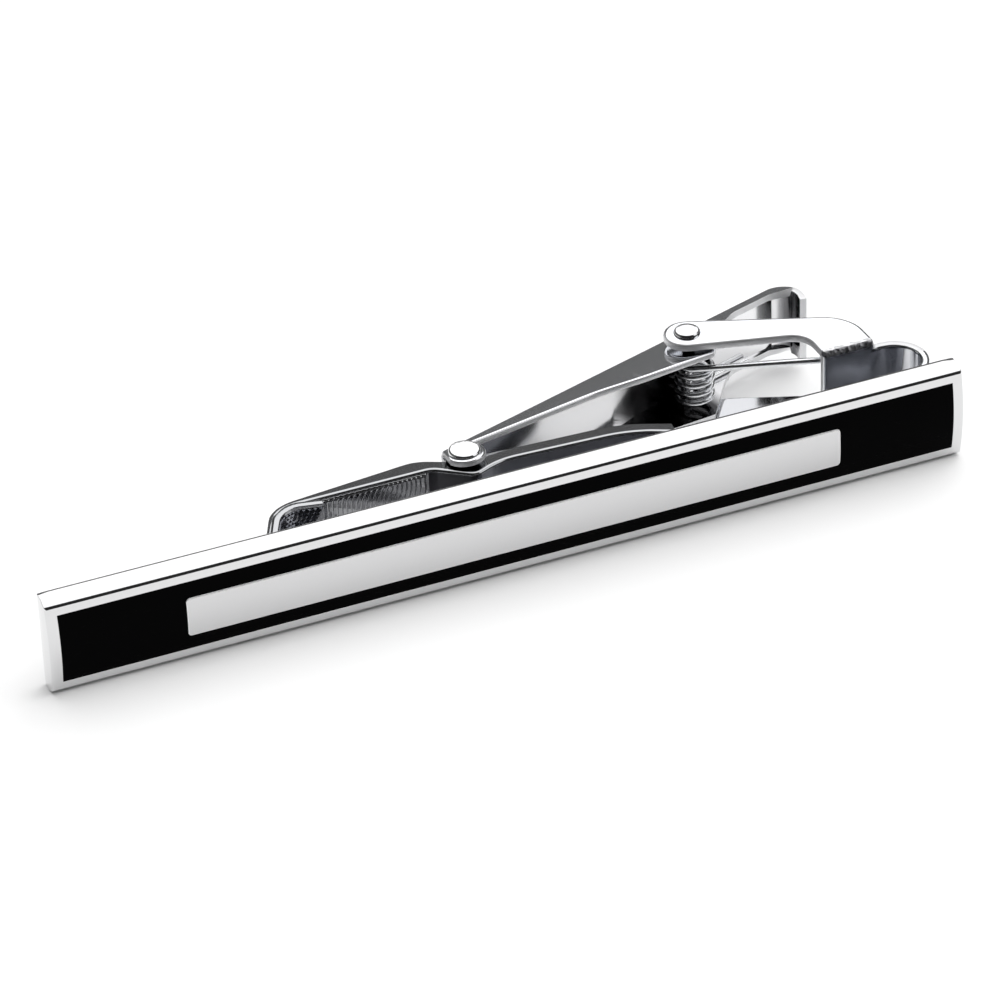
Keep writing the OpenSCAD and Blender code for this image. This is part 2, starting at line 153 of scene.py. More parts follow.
def strip_mesh(points, half, centre):
    """An upright strip: a line of points in plan, extruded from below a level to above it."""
    bm = bmesh.new()
    verts = [bm.verts.new((p.x, p.y, centre - half)) for p in points]
    edges = [bm.edges.new(pair) for pair in zip(verts, verts[1:])]
    made = bmesh.ops.extrude_edge_only(bm, edges=edges)["geom"]
    bmesh.ops.translate(bm, vec=(0, 0, 2 * half), verts=only(made, BMVert))
    return bm


def edges_where(bm, test):
    """Edges whose two ends both pass a test on their place."""
    return [e for e in bm.edges if all(test(v.co) for v in e.verts)]


def faces_up(bm, test, direction):
    """Makes the skin face one way all over: the first face that passes the test points in a direction."""
    bmesh.ops.recalc_face_normals(bm, faces=bm.faces[:])
    bm.normal_update()
    face = next(f for f in bm.faces if test(f.calc_center_median()))
    if face.normal.dot(Vector(direction)) < 0:
        bmesh.ops.reverse_faces(bm, faces=bm.faces[:])


# %% Pieces on their bodies


def make_piece(name, bm, body, materials, node=None, place=Matrix.Identity(4)):
    """Turns a bmesh in millimetres into a smooth-shaded piece that rides on a body."""
    bmesh.ops.transform(bm, matrix=Matrix.Scale(MM, 4) @ place, verts=bm.verts[:])
    for face in bm.faces:
        face.smooth = True
    mesh = bpy.data.meshes.new(name)
    bm.to_mesh(mesh)
    bm.free()
    for material in materials:
        mesh.materials.append(material)
    piece = bpy.data.objects.new(name, mesh)
    bpy.context.scene.collection.objects.link(piece)
    if body:
        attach(piece, body)
    if node:
        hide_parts(node)
    print(name, "has", len(mesh.vertices), "vertices before its modifiers")
    return piece


# %% Thickness and edges
EDGE_BREAK = 0.06
BREAK_STEPS = 3
GENTLE = 0.6


def thicken(piece, sheet, even=True, cut_edge=0, far_side=0):
    """Gives a skin its sheet's thickness. Its cut edges and far side may have their own finish."""
    solid = piece.modifiers.new("sheet", "SOLIDIFY")
    solid.thickness = sheet * MM
    solid.material_offset_rim = cut_edge
    solid.material_offset = far_side
    solid.offset = -1
    solid.use_even_offset = even
    solid.use_quality_normals = True


def soften(piece, width, segments=2, angle=35, profile=0.5, name="edges", clamp=True):
    """Rounds the sharp edges. A profile above a half leaves a gentler roll towards each face."""
    bevel = piece.modifiers.new(name, "BEVEL")
    bevel.width = width * MM
    bevel.segments = segments
    bevel.profile = profile
    bevel.limit_method = "ANGLE"
    bevel.angle_limit = math.radians(angle)
    bevel.use_clamp_overlap = clamp
    return bevel


def keep_flat(piece):
    """Lets the large faces decide how their corners are shaded, so that flat metal mirrors flatly."""
    shading = piece.modifiers.new("flat faces", "WEIGHTED_NORMAL")
    shading.weight = 100
    shading.keep_sharp = True


def weigh(bm, edges, weight):
    """Marks edges for rounding, as a share of the piece's widest rounding."""
    layer = bm.edges.layers.float[WEIGHTS]
    for edge in edges:
        edge[layer] = weight


def soften_marked(piece, width, segments, material=-1, profile=0.5):
    """Rounds only the marked edges."""
    bevel = soften(piece, width, segments, profile=profile, name="marked edges")
    bevel.limit_method = "WEIGHT"
    bevel.use_clamp_overlap = False
    bevel.material = material


print("cut edges are broken by", EDGE_BREAK, "mm")

# %% [markdown]
# ## Camera
#
# The photo looks down on the clip from the front left, through a long lens, so the bar's long edges stay
# nearly parallel. The values come from fitting a camera to the corners of the bar.

# %% Camera
VIEW_AZIMUTH = -21.849
VIEW_ELEVATION = 33.004
VIEW_ROLL = -2.242
VIEW_DISTANCE = 306.95
VIEW_LENS = 182.26
VIEW_AIM = Vector((0, 0.4, 3.25))
AIM_RIGHT = -0.5596
AIM_UP = 0.961


def camera_axes(azimuth, elevation, roll):
    """Unit vectors to the right of the picture, to its top, and back to the camera."""
    a, e, r = (math.radians(x) for x in (azimuth, elevation, roll))
    back = Vector((math.sin(a) * math.cos(e), -math.cos(a) * math.cos(e), math.sin(e)))
    level = Vector((math.cos(a), math.sin(a), 0))
    rise = back.cross(level)
    right = level * math.cos(r) + rise * math.sin(r)
    up = rise * math.cos(r) - level * math.sin(r)
    return right, up, back


right, up, back = camera_axes(VIEW_AZIMUTH, VIEW_ELEVATION, VIEW_ROLL)
camera_data = bpy.data.cameras.new("camera")
camera_data.lens = VIEW_LENS
camera_data.sensor_width = 36
camera_data.clip_start = 0.01
camera_data.clip_end = 20
camera = bpy.data.objects.new("camera", camera_data)
bpy.context.scene.collection.objects.link(camera)
turned = Matrix((right, up, back)).transposed().to_4x4()
aim = VIEW_AIM + right * AIM_RIGHT + up * AIM_UP
camera.matrix_world = Matrix.Translation((aim + back * VIEW_DISTANCE) * MM) @ turned
bpy.context.scene.camera = camera
print("camera at", [round(x, 4) for x in camera.location])

# %% [markdown]
# ## Finishes
#
# All the metal is plated and polished, so it is the light that draws it. What tells one piece from the
# next is how far its polish goes. One node group gives every plated finish its faint haze and its rolled
# or buffed marks, and each material places it with its own values. A few of the plated finishes are darker
# copies that stand for painted shade.

# %% Helpers for node trees


def socket(tree, name, direction, default=None):
    """A number that goes into a node group, or comes out of it."""
    made = tree.interface.new_socket(name=name, in_out=direction, socket_type="NodeSocketFloat")
    if default is not None:
        made.default_value = default


def add_node(tree, kind, place, **values):
    """A node with its properties set, and its inputs by name."""
    made = tree.nodes.new(kind)
    made.location = place
    for name, value in values.items():
        if name in made.inputs:
            made.inputs[name].default_value = value
        else:
            setattr(made, name, value)
    return made


def map_range(tree, place, given=(0, 1), result=(0, 1), kind="LINEAR"):
    """A node that maps one range of values onto another."""
    made = add_node(tree, "ShaderNodeMapRange", place, interpolation_type=kind)
    made.inputs["From Min"].default_value, made.inputs["From Max"].default_value = given
    made.inputs["To Min"].default_value, made.inputs["To Max"].default_value = result
    return made


def new_material(name):
    """A material, its node tree and its shader."""
    material = bpy.data.materials.new(name)
    material.use_nodes = True
    tree = material.node_tree
    return material, tree, tree.nodes["Principled BSDF"]


# %% Polishing marks, a group that all metals share


def polishing_marks():
    """Marks that run along the piece, and a cloudy haze, as height and roughness."""
    tree = bpy.data.node_groups.new("polishing marks", "ShaderNodeTree")
    socket(tree, "Roughness", "INPUT", 0.1)
    socket(tree, "Haze", "INPUT", 0.05)
    socket(tree, "Mark Length", "INPUT", 0.02)
    socket(tree, "Mark Scale", "INPUT", 9000)
    socket(tree, "Wave Scale", "INPUT", 300)
    socket(tree, "Wave Share", "INPUT", 0.3)
    socket(tree, "Roughness", "OUTPUT")
    socket(tree, "Height", "OUTPUT")
    given = add_node(tree, "NodeGroupInput", (-900, 0))
    result = add_node(tree, "NodeGroupOutput", (700, 0))
    where = add_node(tree, "ShaderNodeTexCoord", (-900, -300))
    squeeze = add_node(tree, "ShaderNodeCombineXYZ", (-720, -120), Y=1.0, Z=1.0)
    drawn = add_node(tree, "ShaderNodeVectorMath", (-540, -200), operation="MULTIPLY")
    marks = add_node(tree, "ShaderNodeTexNoise", (-340, -120), Detail=4.0, Roughness=0.6)
    waves = add_node(tree, "ShaderNodeTexNoise", (-340, -420), Detail=2.0)
    haze = add_node(tree, "ShaderNodeMath", (0, 120), operation="MULTIPLY_ADD")
    centred = add_node(tree, "ShaderNodeMath", (-160, 60), operation="SUBTRACT")
    centred.inputs[1].default_value = 0.5
    height = add_node(tree, "ShaderNodeMath", (0, -220), operation="MULTIPLY_ADD")
    link = tree.links.new
    link(given.outputs["Mark Length"], squeeze.inputs["X"])
    link(where.outputs["Object"], drawn.inputs[0])
    link(squeeze.outputs[0], drawn.inputs[1])
    link(drawn.outputs[0], marks.inputs["Vector"])
    link(given.outputs["Mark Scale"], marks.inputs["Scale"])
    link(where.outputs["Object"], waves.inputs["Vector"])
    link(given.outputs["Wave Scale"], waves.inputs["Scale"])
    link(marks.outputs["Fac"], centred.inputs[0])
    link(centred.outputs[0], haze.inputs[0])
    link(given.outputs["Haze"], haze.inputs[1])
    link(given.outputs["Roughness"], haze.inputs[2])
    link(waves.outputs["Fac"], height.inputs[0])
    link(given.outputs["Wave Share"], height.inputs[1])
    link(marks.outputs["Fac"], height.inputs[2])
    link(haze.outputs[0], result.inputs["Roughness"])
    link(height.outputs[0], result.inputs["Height"])
    return tree


MARKS = polishing_marks()
print("polishing marks:", len(MARKS.nodes), "nodes")

# %% Metals


def metal(name, colour, roughness, haze, bump, mark_length=1.0, mark_scale=9000):
    """A plated or bare metal with its polishing marks. The bump is in millimetres."""
    material, tree, shader = new_material(name)
    shader.inputs["Base Color"].default_value = (*colour, 1)
    shader.inputs["Metallic"].default_value = 1
    marks = add_node(tree, "ShaderNodeGroup", (-500, 0), node_tree=MARKS)
    marks.inputs["Roughness"].default_value = roughness
    marks.inputs["Haze"].default_value = haze
    marks.inputs["Mark Length"].default_value = mark_length
    marks.inputs["Mark Scale"].default_value = mark_scale
    relief = add_node(tree, "ShaderNodeBump", (-250, -200), Strength=1.0, Distance=bump * MM)
    tree.links.new(marks.outputs["Roughness"], shader.inputs["Roughness"])
    tree.links.new(marks.outputs["Height"], relief.inputs["Height"])
    tree.links.new(relief.outputs["Normal"], shader.inputs["Normal"])
    return material


bar_plating = metal("bright bar plating", (0.69, 0.69, 0.695), 0.08, 0.05, 0.00006, mark_length=0.03)
clasp_plating = metal("clasp plating", (0.81, 0.82, 0.845), 0.1, 0.06, 0.0002, mark_scale=5000)
# A darker copy of the clasp's plating: painted shade on the jaw.
jaw_plating_painted_dark = metal("jaw plating painted darker", (0.465, 0.47, 0.485), 0.1, 0.06, 0.0002, mark_scale=5000)
rivet_plating = metal("rivet plating", (0.8, 0.8, 0.81), 0.08, 0.06, 0.009, mark_scale=1500)
satin_plate = metal(
    "satin plate", (0.61, 0.61, 0.615), 0.13, 0.12, 0.0005, mark_length=0.05, mark_scale=14000)
plate_bevel = metal("polished bevel", (0.95, 0.95, 0.95), 0.5, 0.05, 0.0001)
# The bar's back: duller than the front, and darker as painted shade for the gap behind the bar.
bar_back_dull_and_shaded = metal("back of the bar, dull and painted darker", (0.42, 0.42, 0.43), 0.25, 0.1, 0.001, mark_scale=3000)
# A darker copy of the clasp's plating: painted shade in the bracket's bend, on the jaw's tail and on the
# hem's teeth.
shade_painted_plating = metal(
    "plating painted darker for shade", (0.205, 0.212, 0.238), 0.2, 0.1, 0.0005, mark_scale=4000)
# Nearly black: painted shade in the jaw's dip.
dip_painted_shade = metal("painted shade in the dip", (0.05, 0.05, 0.055), 0.3, 0.1, 0.0005, mark_scale=4000)
sheared_edge = metal("sheared edge", (0.95, 0.95, 0.96), 0.6, 0.3, 0.006, mark_scale=2200)
spring_wire = metal("spring wire", (0.88, 0.89, 0.905), 0.24, 0.08, 0.0003)
solder_metal = metal("solder", (0.55, 0.55, 0.56), 0.38, 0.3, 0.004, mark_scale=2500)
print("metals:", sorted(m.name for m in bpy.data.materials))

# %% [markdown]
# ### Enamel
#
# The enamel is fired or cold-set black glass, ground flush and polished. Its skin is a little wavy.

# %% Enamel
ENAMEL_GLOSS = (0.05, 0.13)
ENAMEL_WAVE = 0.002


def enamel_finish():
    """Black glass whose gloss and height vary a little."""
    material, tree, shader = new_material("black enamel")
    shader.inputs["Base Color"].default_value = (0.0008, 0.0008, 0.0009, 1)
    shader.inputs["Specular IOR Level"].default_value = 0.015
    where = add_node(tree, "ShaderNodeTexCoord", (-900, 0))
    waves = add_node(tree, "ShaderNodeTexNoise", (-700, -200), Scale=500.0, Detail=2.0)
    cloud = add_node(tree, "ShaderNodeTexNoise", (-700, 100), Scale=250.0, Detail=3.0)
    gloss = map_range(tree, (-450, 100), result=ENAMEL_GLOSS)
    relief = add_node(tree, "ShaderNodeBump", (-300, -200), Strength=1.0, Distance=ENAMEL_WAVE * MM)
    tree.links.new(where.outputs["Object"], waves.inputs["Vector"])
    tree.links.new(where.outputs["Object"], cloud.inputs["Vector"])
    tree.links.new(cloud.outputs["Fac"], gloss.inputs["Value"])
    tree.links.new(gloss.outputs["Result"], shader.inputs["Roughness"])
    tree.links.new(waves.outputs["Fac"], relief.inputs["Height"])
    tree.links.new(relief.outputs["Normal"], shader.inputs["Normal"])
    return material


black_enamel = enamel_finish()
print(black_enamel.name, "with gloss between", ENAMEL_GLOSS)

# %% [markdown]
# ### The strained fold
#
# Where the bracket's ears are folded over sharply, the plating has cracked into dark crumbs. The crumbs
# start where the fold gets steep, which the surface's own normal tells.

# %% Cracked fold
CRACK_STARTS = 0.9
CRACK_FULL = 0.82
CRACK_DEPTH = 0.06


def cracked_finish():
    """Plating that breaks into dark crumbs as the surface turns down."""
    material, tree, shader = new_material("cracked fold")
    shader.inputs["Metallic"].default_value = 1
    where = add_node(tree, "ShaderNodeTexCoord", (-900, 0))
    crumbs = add_node(tree, "ShaderNodeTexVoronoi", (-700, 0), Scale=4500.0)
    tone = add_node(tree, "ShaderNodeValToRGB", (-450, 150))
    tone.color_ramp.elements[0].color = (0.02, 0.02, 0.022, 1)
    tone.color_ramp.elements[1].color = (0.4, 0.4, 0.42, 1)
    tone.color_ramp.elements[1].position = 0.8
    facing = add_node(tree, "ShaderNodeSeparateXYZ", (-700, 350))
    steep = map_range(tree, (-450, 400), given=(CRACK_STARTS, CRACK_FULL))
    mixed = add_node(tree, "ShaderNodeMix", (-200, 250), data_type="RGBA")
    mixed.inputs["A"].default_value = (0.82, 0.82, 0.83, 1)
    matt = map_range(tree, (-450, -100), result=(0.6, 0.3))
    relief = add_node(tree, "ShaderNodeBump", (-300, -300), Strength=1.0, Distance=CRACK_DEPTH * MM)
    tree.links.new(where.outputs["Object"], crumbs.inputs["Vector"])
    tree.links.new(crumbs.outputs["Color"], tone.inputs["Fac"])
    tree.links.new(where.outputs["Normal"], facing.inputs[0])
    tree.links.new(facing.outputs["Z"], steep.inputs["Value"])
    tree.links.new(steep.outputs["Result"], mixed.inputs["Factor"])
    tree.links.new(tone.outputs["Color"], mixed.inputs["B"])
    tree.links.new(mixed.outputs["Result"], shader.inputs["Base Color"])
    tree.links.new(crumbs.outputs["Distance"], matt.inputs["Value"])
    tree.links.new(matt.outputs["Result"], shader.inputs["Roughness"])
    tree.links.new(crumbs.outputs["Distance"], relief.inputs["Height"])
    tree.links.new(relief.outputs["Normal"], shader.inputs["Normal"])
    return material


cracked_fold = cracked_finish()
print(cracked_fold.name, "starts at a normal of", CRACK_STARTS)

# %% [markdown]
# ## The bar
#
# The bar is a casting with a flat back, a domed front and a shallow recess for the enamel. It starts as
# its front face: a rectangle, cut through at the sides of the recess, whose middle face is taken out. The
# rest is sliced into strips and pushed onto the dome. The opening's rim is then extruded in to make the
# recess, and the outer rim is extruded back over the leaning edge, the flat land on which the clip stands
# and the dressed back edge.

# %% Sizes of the bar, from the frame
bar_low, bar_high = (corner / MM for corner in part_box("front_bar"))
enamel_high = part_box("enamel_inlay")[1] / MM
plate_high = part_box("centre_plate")[1] / MM
BAR_CROWN = 0.35
EDGE_DRAFT = 0.3
middle_z = bar_high.z / 2
back_y = bar_high.y
front_half = middle_z - EDGE_DRAFT
dome_radius = (front_half**2 + BAR_CROWN**2) / (2 * BAR_CROWN)
dome_centre = bar_low.y + dome_radius
floor_y = enamel_high.y
print("bar from", bar_low, "to", bar_high, "with a dome of radius", round(dome_radius, 2))

# %% Working a front face
DOME_STRIPS = 24


def dome_at(z, proud=0.0):
    """Front of the bar at a height."""
    return dome_centre - math.sqrt((dome_radius + proud) ** 2 - (z - middle_z) ** 2)


def window(half_length, half_height, radius):
    """A rounded rectangle that faces the front, as a bmesh with one face."""
    corners = [(-half_length, -half_height), (half_length, -half_height), (half_length, half_height),
               (-half_length, half_height)]
    bm = outline_face(corners, 0, [radius] * 4)
    stand = Matrix.Translation((0, 0, middle_z)) @ Matrix.Rotation(math.radians(90), 4, "X")
    bmesh.ops.transform(bm, matrix=stand, verts=bm.verts[:])
    return bm


def cut_across(bm, place, normal):
    """Cuts every face that a plane crosses."""
    bmesh.ops.bisect_plane(
        bm, geom=bm.verts[:] + bm.edges[:] + bm.faces[:], dist=1e-7, plane_co=place, plane_no=normal,
    )


def slice_along(bm, low, high):
    """Cuts the front into level strips, so that it can follow the dome."""
    for i in range(1, DOME_STRIPS):
        cut_across(bm, (0, 0, low + (high - low) * i / DOME_STRIPS), (0, 0, 1))


def onto_dome(bm, proud=0.0):
    """Pushes a flat front onto the dome."""
    for vert in bm.verts:
        vert.co.y = dome_at(vert.co.z, proud)


def pull_rim(bm, rim, move):
    """Extrudes a rim of edges and moves its new points. Returns the new rim."""
    made = bmesh.ops.extrude_edge_only(bm, edges=rim)["geom"]
    for vert in only(made, BMVert):
        vert.co = move(vert.co)
    return [edge for edge in only(made, BMEdge) if len(edge.link_faces) == 1]


def close_rim(bm, rim):
    """Fills a rim with one face."""
    bmesh.ops.contextual_create(bm, geom=rim)


# %% Bar
STANDING_LAND = 0.8
RIM_BEVEL = 0.15
BACK_SHARE = 0.6
END_SHARE = 0.25
WINDOW_SHARE = 0.17
RIM_STEPS = 6
SHARP = math.radians(60)
DRESSED_WIDTH = 0.22
DRESSED_FALL = 0.055


def in_window(edge, slack=0.05):
    """Whether an edge lies on the rim of the recess."""
    half_height = enamel_high.z - middle_z
    return all(abs(v.co.x) < enamel_high.x + slack and abs(v.co.z - middle_z) < half_height + slack
               for v in edge.verts)


def framed_front():
    """The bar's front, with an opening for the enamel."""
    bm = window(bar_high.x, front_half, 0)
    for side in (-1, 1):
        cut_across(bm, (side * enamel_high.x, 0, 0), (1, 0, 0))
        cut_across(bm, (0, 0, middle_z + side * (enamel_high.z - middle_z)), (0, 0, 1))
    heart = Vector((0, 0, middle_z))
    opening = min(bm.faces, key=lambda f: (f.calc_center_median() - heart).length)
    bmesh.ops.delete(bm, geom=[opening], context="FACES_ONLY")
    return bm


def dressed(co):
    """Where a point of the back edge goes: the land falls away a little there."""
    return Vector((co.x * (1 - DRESSED_FALL / bar_high.x), back_y,
                   middle_z + (co.z - middle_z) * (1 - DRESSED_FALL / middle_z)))


def bar_mesh():
    """The bar: its front, the recess, the leaning edge, the land and the back."""
    bm = framed_front()
    slice_along(bm, middle_z - front_half, middle_z + front_half)
    onto_dome(bm)
    rims = [e for e in bm.edges if e.is_boundary]
    recess = [e for e in rims if in_window(e)]
    outer = [e for e in rims if not in_window(e)]
    floor = pull_rim(bm, recess, lambda co: Vector((co.x, floor_y, co.z)))
    close_rim(bm, floor)
    spread = middle_z / front_half
    land = pull_rim(bm, outer, lambda co: Vector(
        (co.x, back_y - STANDING_LAND, middle_z + (co.z - middle_z) * spread)))
    brow = pull_rim(bm, land, lambda co: Vector((co.x, back_y - DRESSED_WIDTH, co.z)))
    rear = pull_rim(bm, brow, dressed)
    close_rim(bm, rear)
    bmesh.ops.recalc_face_normals(bm, faces=bm.faces[:])
    # The back takes a duller, darker finish, partly painted shade for the gap behind the bar.
    for face in bm.faces:
        on_back = face.normal.y > 0.9 and near(face.calc_center_median().y, back_y)
        face.material_index = 1 if on_back else 0
    corners = [e for e in bm.edges if e.calc_face_angle(0) > SHARP
               and all(near(abs(v.co.x), bar_high.x) for v in e.verts)]
    weigh(bm, corners, END_SHARE)
    weigh(bm, outer, 1)
    weigh(bm, rear, BACK_SHARE)
    weigh(bm, recess, WINDOW_SHARE)
    return bm


bar = make_piece("bar", bar_mesh(), "bar", [bar_plating, bar_back_dull_and_shaded], "front_bar")
soften_marked(bar, RIM_BEVEL, RIM_STEPS, material=0, profile=GENTLE)
keep_flat(bar)

# %% [markdown]
# ## Enamel and plate
#
# Both are rectangles pushed onto the dome and extruded back to the recess. The enamel lies a hair below
# the metal, because it shrinks as it sets. The satin plate has rounded corners, and stands proud of the
# enamel with a polished bevel all round.

# %% Enamel inlay
ENAMEL_CORNER = 0
ENAMEL_SINK = 0.015
ENAMEL_ROUND = 0.05
ENAMEL_STEPS = 2


def inlay_mesh(high, radius, proud):
    """A rectangle on the dome, up to a corner of its box, with a flat back on the recess's floor."""
    bm = window(high.x, high.z - middle_z, radius)
    slice_along(bm, 2 * middle_z - high.z, high.z)
    onto_dome(bm, proud)
    rim = [e for e in bm.edges if e.is_boundary]
    rear = pull_rim(bm, rim, lambda co: Vector((co.x, floor_y, co.z)))
    close_rim(bm, rear)
    bmesh.ops.recalc_face_normals(bm, faces=bm.faces[:])
    weigh(bm, rim, 1)
    return bm


enamel_skin = inlay_mesh(enamel_high, ENAMEL_CORNER, -ENAMEL_SINK)
enamel = make_piece("enamel", enamel_skin, "bar", [black_enamel], "enamel_inlay")
soften_marked(enamel, ENAMEL_ROUND, ENAMEL_STEPS)
keep_flat(enamel)

# %% Centre plate
PLATE_CORNER = 0.25
PLATE_PROUD = 0.08
PLATE_BEVEL = 0.06
plate_skin = inlay_mesh(plate_high, PLATE_CORNER, PLATE_PROUD)
plate = make_piece("plate", plate_skin, "bar", [satin_plate, plate_bevel], "centre_plate")
soften_marked(plate, PLATE_BEVEL, BREAK_STEPS, material=1)
keep_flat(plate)

# %% [markdown]
# ## Places of the clasp
#
# The two rivets are the joints' axes, and the nested channels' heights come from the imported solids.

# %% Rivets' places
joints = {j["name"]: j for j in frame["joints"]}
lever_pivot = Vector(joints["lever_hinge"]["pos_m"]) / MM
jaw_pivot = Vector(joints["jaw_pivot"]["pos_m"]) / MM
bracket_low, bracket_high = (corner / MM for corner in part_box("base_bracket"))
ear_half = bracket_high.z - middle_z
lever_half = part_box("lever")[1].z / MM - middle_z
jaw_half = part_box("jaw")[1].z / MM - middle_z
print("rivets at", lever_pivot, jaw_pivot, "half heights", ear_half, lever_half, jaw_half)

# %% [markdown]
# ## Bracket
#
# One strip of sheet: a foot on the bar, a U-bend, a web, and two ears folded back from the web's edges.
# The strip is made by extruding and spinning one upright edge, so that its bend is a true arc, and each
# ear is an outline joined to the end of its fold. The sheared edges have a finish of their own, and the foot
# and the half of the bend next to it are painted darker, as painted shade.

# %% Sizes of the bracket
BRACKET_SHEET = 0.6
BEND_RADIUS = 2.2
FOOT_LENGTH = 7.5
WEB_LENGTH = 4.15
bend_x = bracket_high.x - BEND_RADIUS
foot_x = bend_x - FOOT_LENGTH
foot_y = bracket_low.y
web_y = foot_y + 2 * BEND_RADIUS
web_x = bend_x - WEB_LENGTH
web_half = ear_half - BRACKET_SHEET
print("the bracket's web reaches from", round(web_x, 2), "to", round(bend_x, 2))

# %% Folding a strip from one edge


def extrude_edge(bm, edge, step):
    """Extrudes one edge by a step and returns the new edge."""
    made = bmesh.ops.extrude_edge_only(bm, edges=[edge])["geom"]
    bmesh.ops.translate(bm, vec=step, verts=only(made, BMVert))
    return next(g for g in only(made, BMEdge) if not set(g.verts) & set(edge.verts))


def spin_edge(bm, edge, centre, axis, degrees, steps):
    """Spins one edge round an axis and returns the last edge."""
    made = bmesh.ops.spin(bm, geom=[edge], cent=centre, axis=axis, angle=math.radians(degrees),
                          steps=steps, use_duplicate=False)["geom_last"]
    return only(made, BMEdge)[0]


# %% Ears
EAR_FOOT = 3.55
EAR_RADIUS = 1.5
ELBOW_OUTER = 2.8
ELBOW_INNER = 2.05
ELBOW_RADIUS = 1.4
ELBOW_ROUND = 2.6
NOSE_STEPS = 24


def ear_outline():
    """Corners and radii of an ear, from its fold over the outer elbow, round the rivet and home."""
    right = web_x + EAR_FOOT
    outer = (right, web_y + ELBOW_OUTER)
    inner = (web_x, web_y + ELBOW_INNER)
    pivot = lever_pivot.xy
    first = touch_angle(outer, pivot, EAR_RADIUS, 1)
    last = touch_angle(inner, pivot, EAR_RADIUS, -1) + 360
    nose = arc(pivot, EAR_RADIUS, first, last, NOSE_STEPS)
    front_y = web_y - BRACKET_SHEET
    corners = [(right, front_y), outer, *nose, inner, (web_x, front_y)]
    radii = [0, ELBOW_ROUND] + [0] * len(nose) + [ELBOW_RADIUS, 0]
    return corners, radii


print("an ear has", len(ear_outline()[0]), "corners before they are rounded")

# %% Bracket
BEND_STEPS = 24
EAR_CREASE = 0.42
CREASE_STEPS = 8
EDGE_ROLL = 0.26
ROLL_STEPS = 5
SLACK = 0.01


def bracket_mesh():
    """The bracket's inner skin: foot, bend, web and both ears."""
    bm = bmesh.new()
    bm.edges.layers.float.new(WEIGHTS)
    inner_y = foot_y + BRACKET_SHEET
    ends = [bm.verts.new((foot_x, inner_y, middle_z + side * web_half)) for side in (-1, 1)]
    edge = bm.edges.new(ends)
    edge = extrude_edge(bm, edge, (FOOT_LENGTH, 0, 0))
    edge = spin_edge(bm, edge, (bend_x, foot_y + BEND_RADIUS, middle_z), (0, 0, 1), 180, BEND_STEPS)
    edge = extrude_edge(bm, edge, (EAR_FOOT - WEB_LENGTH, 0, 0))
    extrude_edge(bm, edge, (-EAR_FOOT, 0, 0))
    front_y = web_y - BRACKET_SHEET
    for side in (-1, 1):
        level = middle_z + side * web_half
        ends_at = web_x + EAR_FOOT + SLACK
        crease = edges_where(bm, lambda co: near(co.z, level) and near(co.y, front_y) and co.x < ends_at)[0]
        extrude_edge(bm, crease, (0, 0, side * BRACKET_SHEET))
        corners, radii = ear_outline()
        add_to(bm, outline_face(corners, middle_z + side * ear_half, radii))
    bmesh.ops.remove_doubles(bm, verts=bm.verts[:], dist=1e-3)
    faces_up(bm, lambda co: near(co.z, middle_z + ear_half, SLACK), (0, 0, 1))
    creases = edges_where(bm, lambda co: near(abs(co.z - middle_z), ear_half) and near(co.y, front_y))
    weigh(bm, [e for e in creases if len(e.link_faces) == 2], 1)
    for face in bm.faces:
        # The foot and the half of the bend next to it take the darker plating, as painted shade.
        face.material_index = 2 if face.calc_center_median().y < foot_y + BEND_RADIUS else 0
    return bm


bracket_finishes = [clasp_plating, cracked_fold, shade_painted_plating, sheared_edge, clasp_plating]
bracket = make_piece("bracket", bracket_mesh(), "bar", bracket_finishes, "base_bracket")
thicken(bracket, BRACKET_SHEET, cut_edge=3, far_side=4)
soften_marked(bracket, EAR_CREASE, CREASE_STEPS, material=1)
soften(bracket, EDGE_ROLL, ROLL_STEPS, profile=GENTLE, clamp=False)
keep_flat(bracket)

# %% [markdown]
# ## Lever
#
# The lever is a channel: a long web with a flange along each edge. The flanges are one outline, drawn
# twice, and the web is bridged between their straight backs. Its thumb end is spun round into a curl, and
# the upper flange's front edge is rolled over, so that it draws a bright line. The flanges lean in by a few
# degrees and the web twists a little towards the jaw, which decides what they mirror. The inside is painted
# dark behind the coil and in the curl, as painted shade.

# %% The lever's own frame
LEVER_ANGLE = 18.1
lever_turn = Matrix.Rotation(math.radians(LEVER_ANGLE), 4, "Z")
lever_frame = Matrix.Translation((lever_pivot.x, lever_pivot.y, 0)) @ lever_turn
lever_along = lever_frame.to_3x3() @ Vector((1, 0, 0))
lever_normal = lever_frame.to_3x3() @ Vector((0, 1, 0))
jaw_local = lever_frame.inverted() @ Vector((jaw_pivot.x, jaw_pivot.y, 0))
print("the jaw's rivet lies at", round(jaw_local.x, 3), "along the lever")

# %% Flange of the lever
LEVER_BACK = 1.45
LEVER_END = 0.9
TAB_RADIUS = 1.3
TAB_SWEEP = (22, -175)
TAB_STEPS = 16
THUMB_REACH = 8.2
THUMB_RADIUS = 1.5
THUMB_TURN = 118
THUMB_FLANGE = 0.57
CURL_STEPS = 18
CRESCENT_STEPS = 11
# Corners of a flange's front edge from the thumb to the jaw: place along the lever, depth, rounding
FLANGE_FRONT = [
    (THUMB_REACH - 0.3, THUMB_FLANGE, 0), (4.6, THUMB_FLANGE, 1.5), (3, 1.5, 1.5),
    (0.4, 3.55, 0.2), (-4.6, 2.65, 8), (-8, 1.82, 12)]
curl_centre = Vector((THUMB_REACH, LEVER_BACK - THUMB_RADIUS))
crescent_turn = THUMB_TURN * CRESCENT_STEPS / CURL_STEPS
crescent = arc(curl_centre, THUMB_RADIUS, 90, 90 - crescent_turn, CRESCENT_STEPS)


